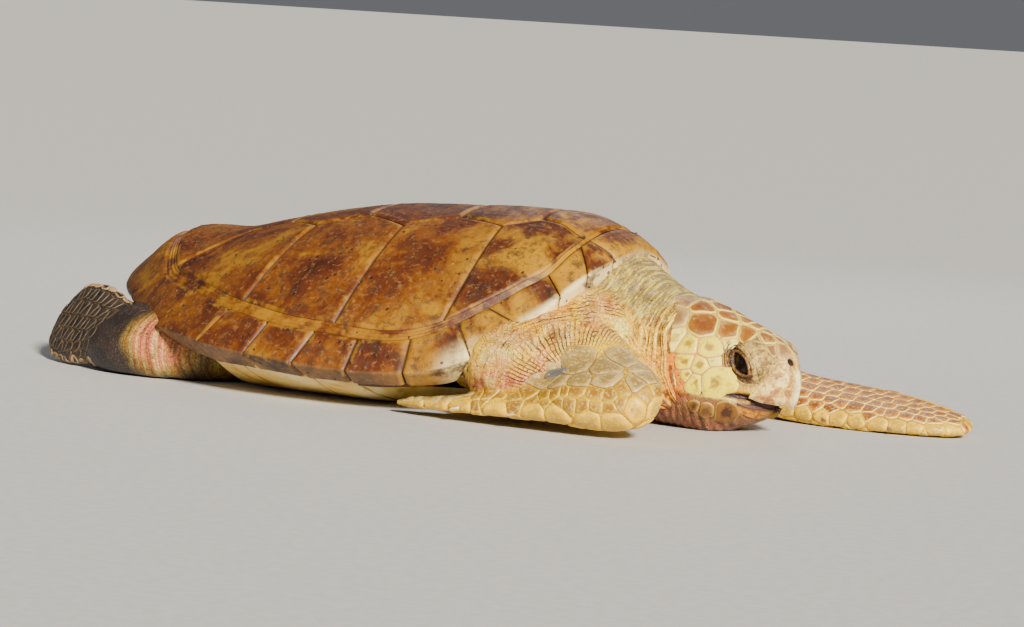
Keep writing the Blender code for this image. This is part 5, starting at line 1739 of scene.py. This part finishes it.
near = joined(row_seeds(limbs["right_blade"], WRIST_ROWS, (0.03, 0.22), corner=(0.42, 0.05), seed=3,
                        wobble=0.3), row_seeds(limbs["right_blade"], NEAR_ROWS, (0.25, 1.0),
                                               corner=(0.42, 0.05), seed=3))
far = row_seeds(limbs["left_blade"], FAR_ROWS, corner=(0.42, 0.3), seed=5)
scale_sheet("front_flipper_scales_right", scale_finish, near, gap=0.0002)
scale_sheet("front_flipper_scales_left", scale_finish, far, gap=0.0003)
hind = joined(*(row_seeds(limbs[f"{name}_paddle"], HIND_ROWS, corner=(0.7, y), seed=7)
                for name, y in (("right", 0.05), ("left", 0.3))))
scale_sheet("hind_flipper_scales", hind_finish, hind, height=0.0012)

# %% [markdown]
# ## Belly, claws and tag
#
# The plastron is a shallow dish of paired plates that the turtle rests on: a wavy middle seam, cross seams
# and a line on each side towards the bridge, where it turns up to the shell's rim. Each front flipper has two
# short claws on its leading edge, and the right one carries a plain metal tag near its trailing edge.

# %% The belly plates
BELLY_FRONT, BELLY_REAR = 0.335, -0.375
LOBES = [(0, 30), (30, 65), (120, 120), (260, 165), (500, 185), (720, 150), (880, 95), (970, 50), (1000, 20)]
BRIDGE = [(0, 0), (150, 0), (300, 1000), (620, 1000), (760, 0), (1000, 0)]
BRIDGE_REACH, LOBE_EDGE = 0.925, 0.024
CROSS = [0.115, 0.245, 0.375, 0.525, 0.695, 0.855]

share, across = np.linspace(0, 1, 150)[:, None], np.sin(np.linspace(-1, 1, 110) * math.pi / 2)[None]
x = BELLY_FRONT + (BELLY_REAR - BELLY_FRONT) * share
shell_share = (HALF - x) / LENGTH
bridge, lobe = curve(share, BRIDGE), curve(share, LOBES)
half = lobe + (curve(shell_share, PLAN) * HALF_WIDTH * BRIDGE_REACH - lobe) * bridge
drop = curve(shell_share, RIM_DROP) * min((1 - BRIDGE_REACH) / RIM_INSET, 1)
high = LOBE_EDGE + (curve(shell_share, RIM_HEIGHT) - drop - 0.001 - LOBE_EDGE) * bridge
rise = np.clip((np.abs(across) - 0.55) / 0.45, 0, 1) ** 1.6
grid = stack([x + 0 * across, across * half, 0.0006 + (high - 0.0006) * rise], -1)
middle_gap = np.abs(grid[..., 1] - 0.004 * np.sin(share * 24))
line_gap = np.abs(np.abs(grid[..., 1]) - 0.15 - 0.006 * np.sin(share * 20)) + 0.02 * (bridge < 0.5)
bow = 0.02 * np.abs(across) ** 2
cross_gap = np.min([np.abs(share + bow * (1 - 2 * (k % 2)) - c) * (BELLY_FRONT - BELLY_REAR)
                    for k, c in enumerate(CROSS)], axis=0)
seam_gap = np.minimum(np.minimum(middle_gap, line_gap), cross_gap)
groove = bell(seam_gap, 0.0022)
grid[..., 2] += 0.0016 * groove + 0.0006 * (1 + layered(grid * 25, 2, 41)) * (1 - rise)
belly_finish, net = finish("belly_horn", Coat_Roughness=0.3)
cloud = net.noise(10.0, 6, 0.62, 0.5)
net.paint(net.ramp(cloud, (0.32, (0.5, 0.3, 0.1)), (0.5, (0.74, 0.56, 0.28)), (0.68, (0.84, 0.72, 0.46))))
net.paint((0.2, 0.1, 0.045), net.step("edge", 0.0035, 0.0008, 0.0, 0.85))
grime = net.noise(55.0, 5, 0.7)
net.paint((0.16, 0.1, 0.07), net.step(grime, 0.56, 0.7, 0.0, 0.5))
net.show((grime, 0.36, 0.6), grime, 0.0008)
belly = Shape()
belly.slab(grid[::-1], grid[::-1] + np.array([0, 0, 0.01]) * (1 - 0.6 * rise)[..., None], edge=seam_gap[::-1])
belly.build("belly_plates", belly_finish, "belly", "plastron")

# %% Claws and tag
CLAW_LENGTH, CLAW_RADIUS = 0.017, 0.0048


def frame_at(limb, share, angle):
    """A place on a limb with the ways along it, round it and out of it."""
    at = np.array([share, share, share]), np.array([angle, angle - 0.05, angle + 0.05])
    here, before, after = limb.surface(*at)
    along, round_ = limb.along[round(share * (len(limb.at) - 1))], unit(after - before)
    out = unit(np.cross(along, round_))
    return here, along, round_, out * np.sign(out @ (here - limb.at[round(share * (len(limb.at) - 1))]))


claw_horn, net = finish("claw_horn", 0.3)
tint = net.noise(1.0, 4, at=net.place((40, 40, 260)))
net.paint(net.ramp(tint, (0.35, (0.3, 0.19, 0.09)), (0.6, (0.62, 0.48, 0.28))))
net.show(height=tint, depth=0.0004)
claws = Shape()
for name, shares_ in (("right_blade", (0.6, 0.7)), ("left_blade", (0.4, 0.62))):
    for share_ in shares_:
        root, along, round_, out = frame_at(limbs[name], share_, 0.0)
        steps = np.linspace(0, 1, 18)[:, None]
        centre = root - 0.009 * out + CLAW_LENGTH * (0.8 * out * steps + 0.7 * along * steps**2)
        centre[:, 2] = np.maximum(centre[:, 2], CLAW_RADIUS + 0.001)
        turn = ring_angles(18)[None, :, None]
        thick = CLAW_RADIUS * np.sqrt(1 - 0.995 * steps**2.2) * (1 + 0.05 * np.sin(steps * 40))
        claws.tube(centre[:, None] + thick[:, None] * (along * np.cos(turn) + round_ * np.sin(turn)))
claws.build("claws", claw_horn, "horn", "claw_front_right_1", "claw_front_right_2", "claw_front_left_1",
            "claw_front_left_2")

tag_metal, net = finish("tag_metal", 0.35, 0.85)
scratch = net.noise(1.0, 6, 0.7, at=net.place((30, 300, 30)))
net.paint(net.ramp(scratch, (0.4, (0.4, 0.38, 0.34)), (0.66, (0.6, 0.57, 0.51))))
net.show(net.step(scratch, 0.4, 0.7, 0.28, 0.5), scratch, 0.0003)
root, along, round_, out = frame_at(limbs["right_blade"], 0.5, math.radians(107))
lean = math.radians(38)
out, round_ = out * math.cos(lean) - round_ * math.sin(lean), round_ * math.cos(lean) + out * math.sin(lean)
turn = ring_angles(48)
squared = stack([squared_wave(np.cos(turn), 0.4), squared_wave(np.sin(turn), 0.4)], 1)


def flat_body(centre, levels):
    """Rounded oblong rings on the flipper's back, from (height, half length, half width) levels."""
    return stack([centre + out * height + along * (squared[:, :1] * length)
                  + round_ * (squared[:, 1:] * width) for height, length, width in levels])


tag = Shape()
tag.tube(flat_body(root, [(0.0072, 0.0175, 0.0066), (0.0074, 0.0183, 0.0073), (0.0078, 0.0185, 0.0075),
                          (0.0086, 0.0185, 0.0075), (0.009, 0.0182, 0.0072), (0.0092, 0.0174, 0.0064)]))
for place_ in (-0.0125, 0.0125):
    tag.tube(flat_body(root + along * place_, [(-0.006, 0.0016, 0.0016), (0.0091, 0.0024, 0.0024),
                                               (0.0097, 0.0022, 0.0022), (0.01, 0.001, 0.001)]))
tag.build("tag", tag_metal, "tag", "flipper_tag")
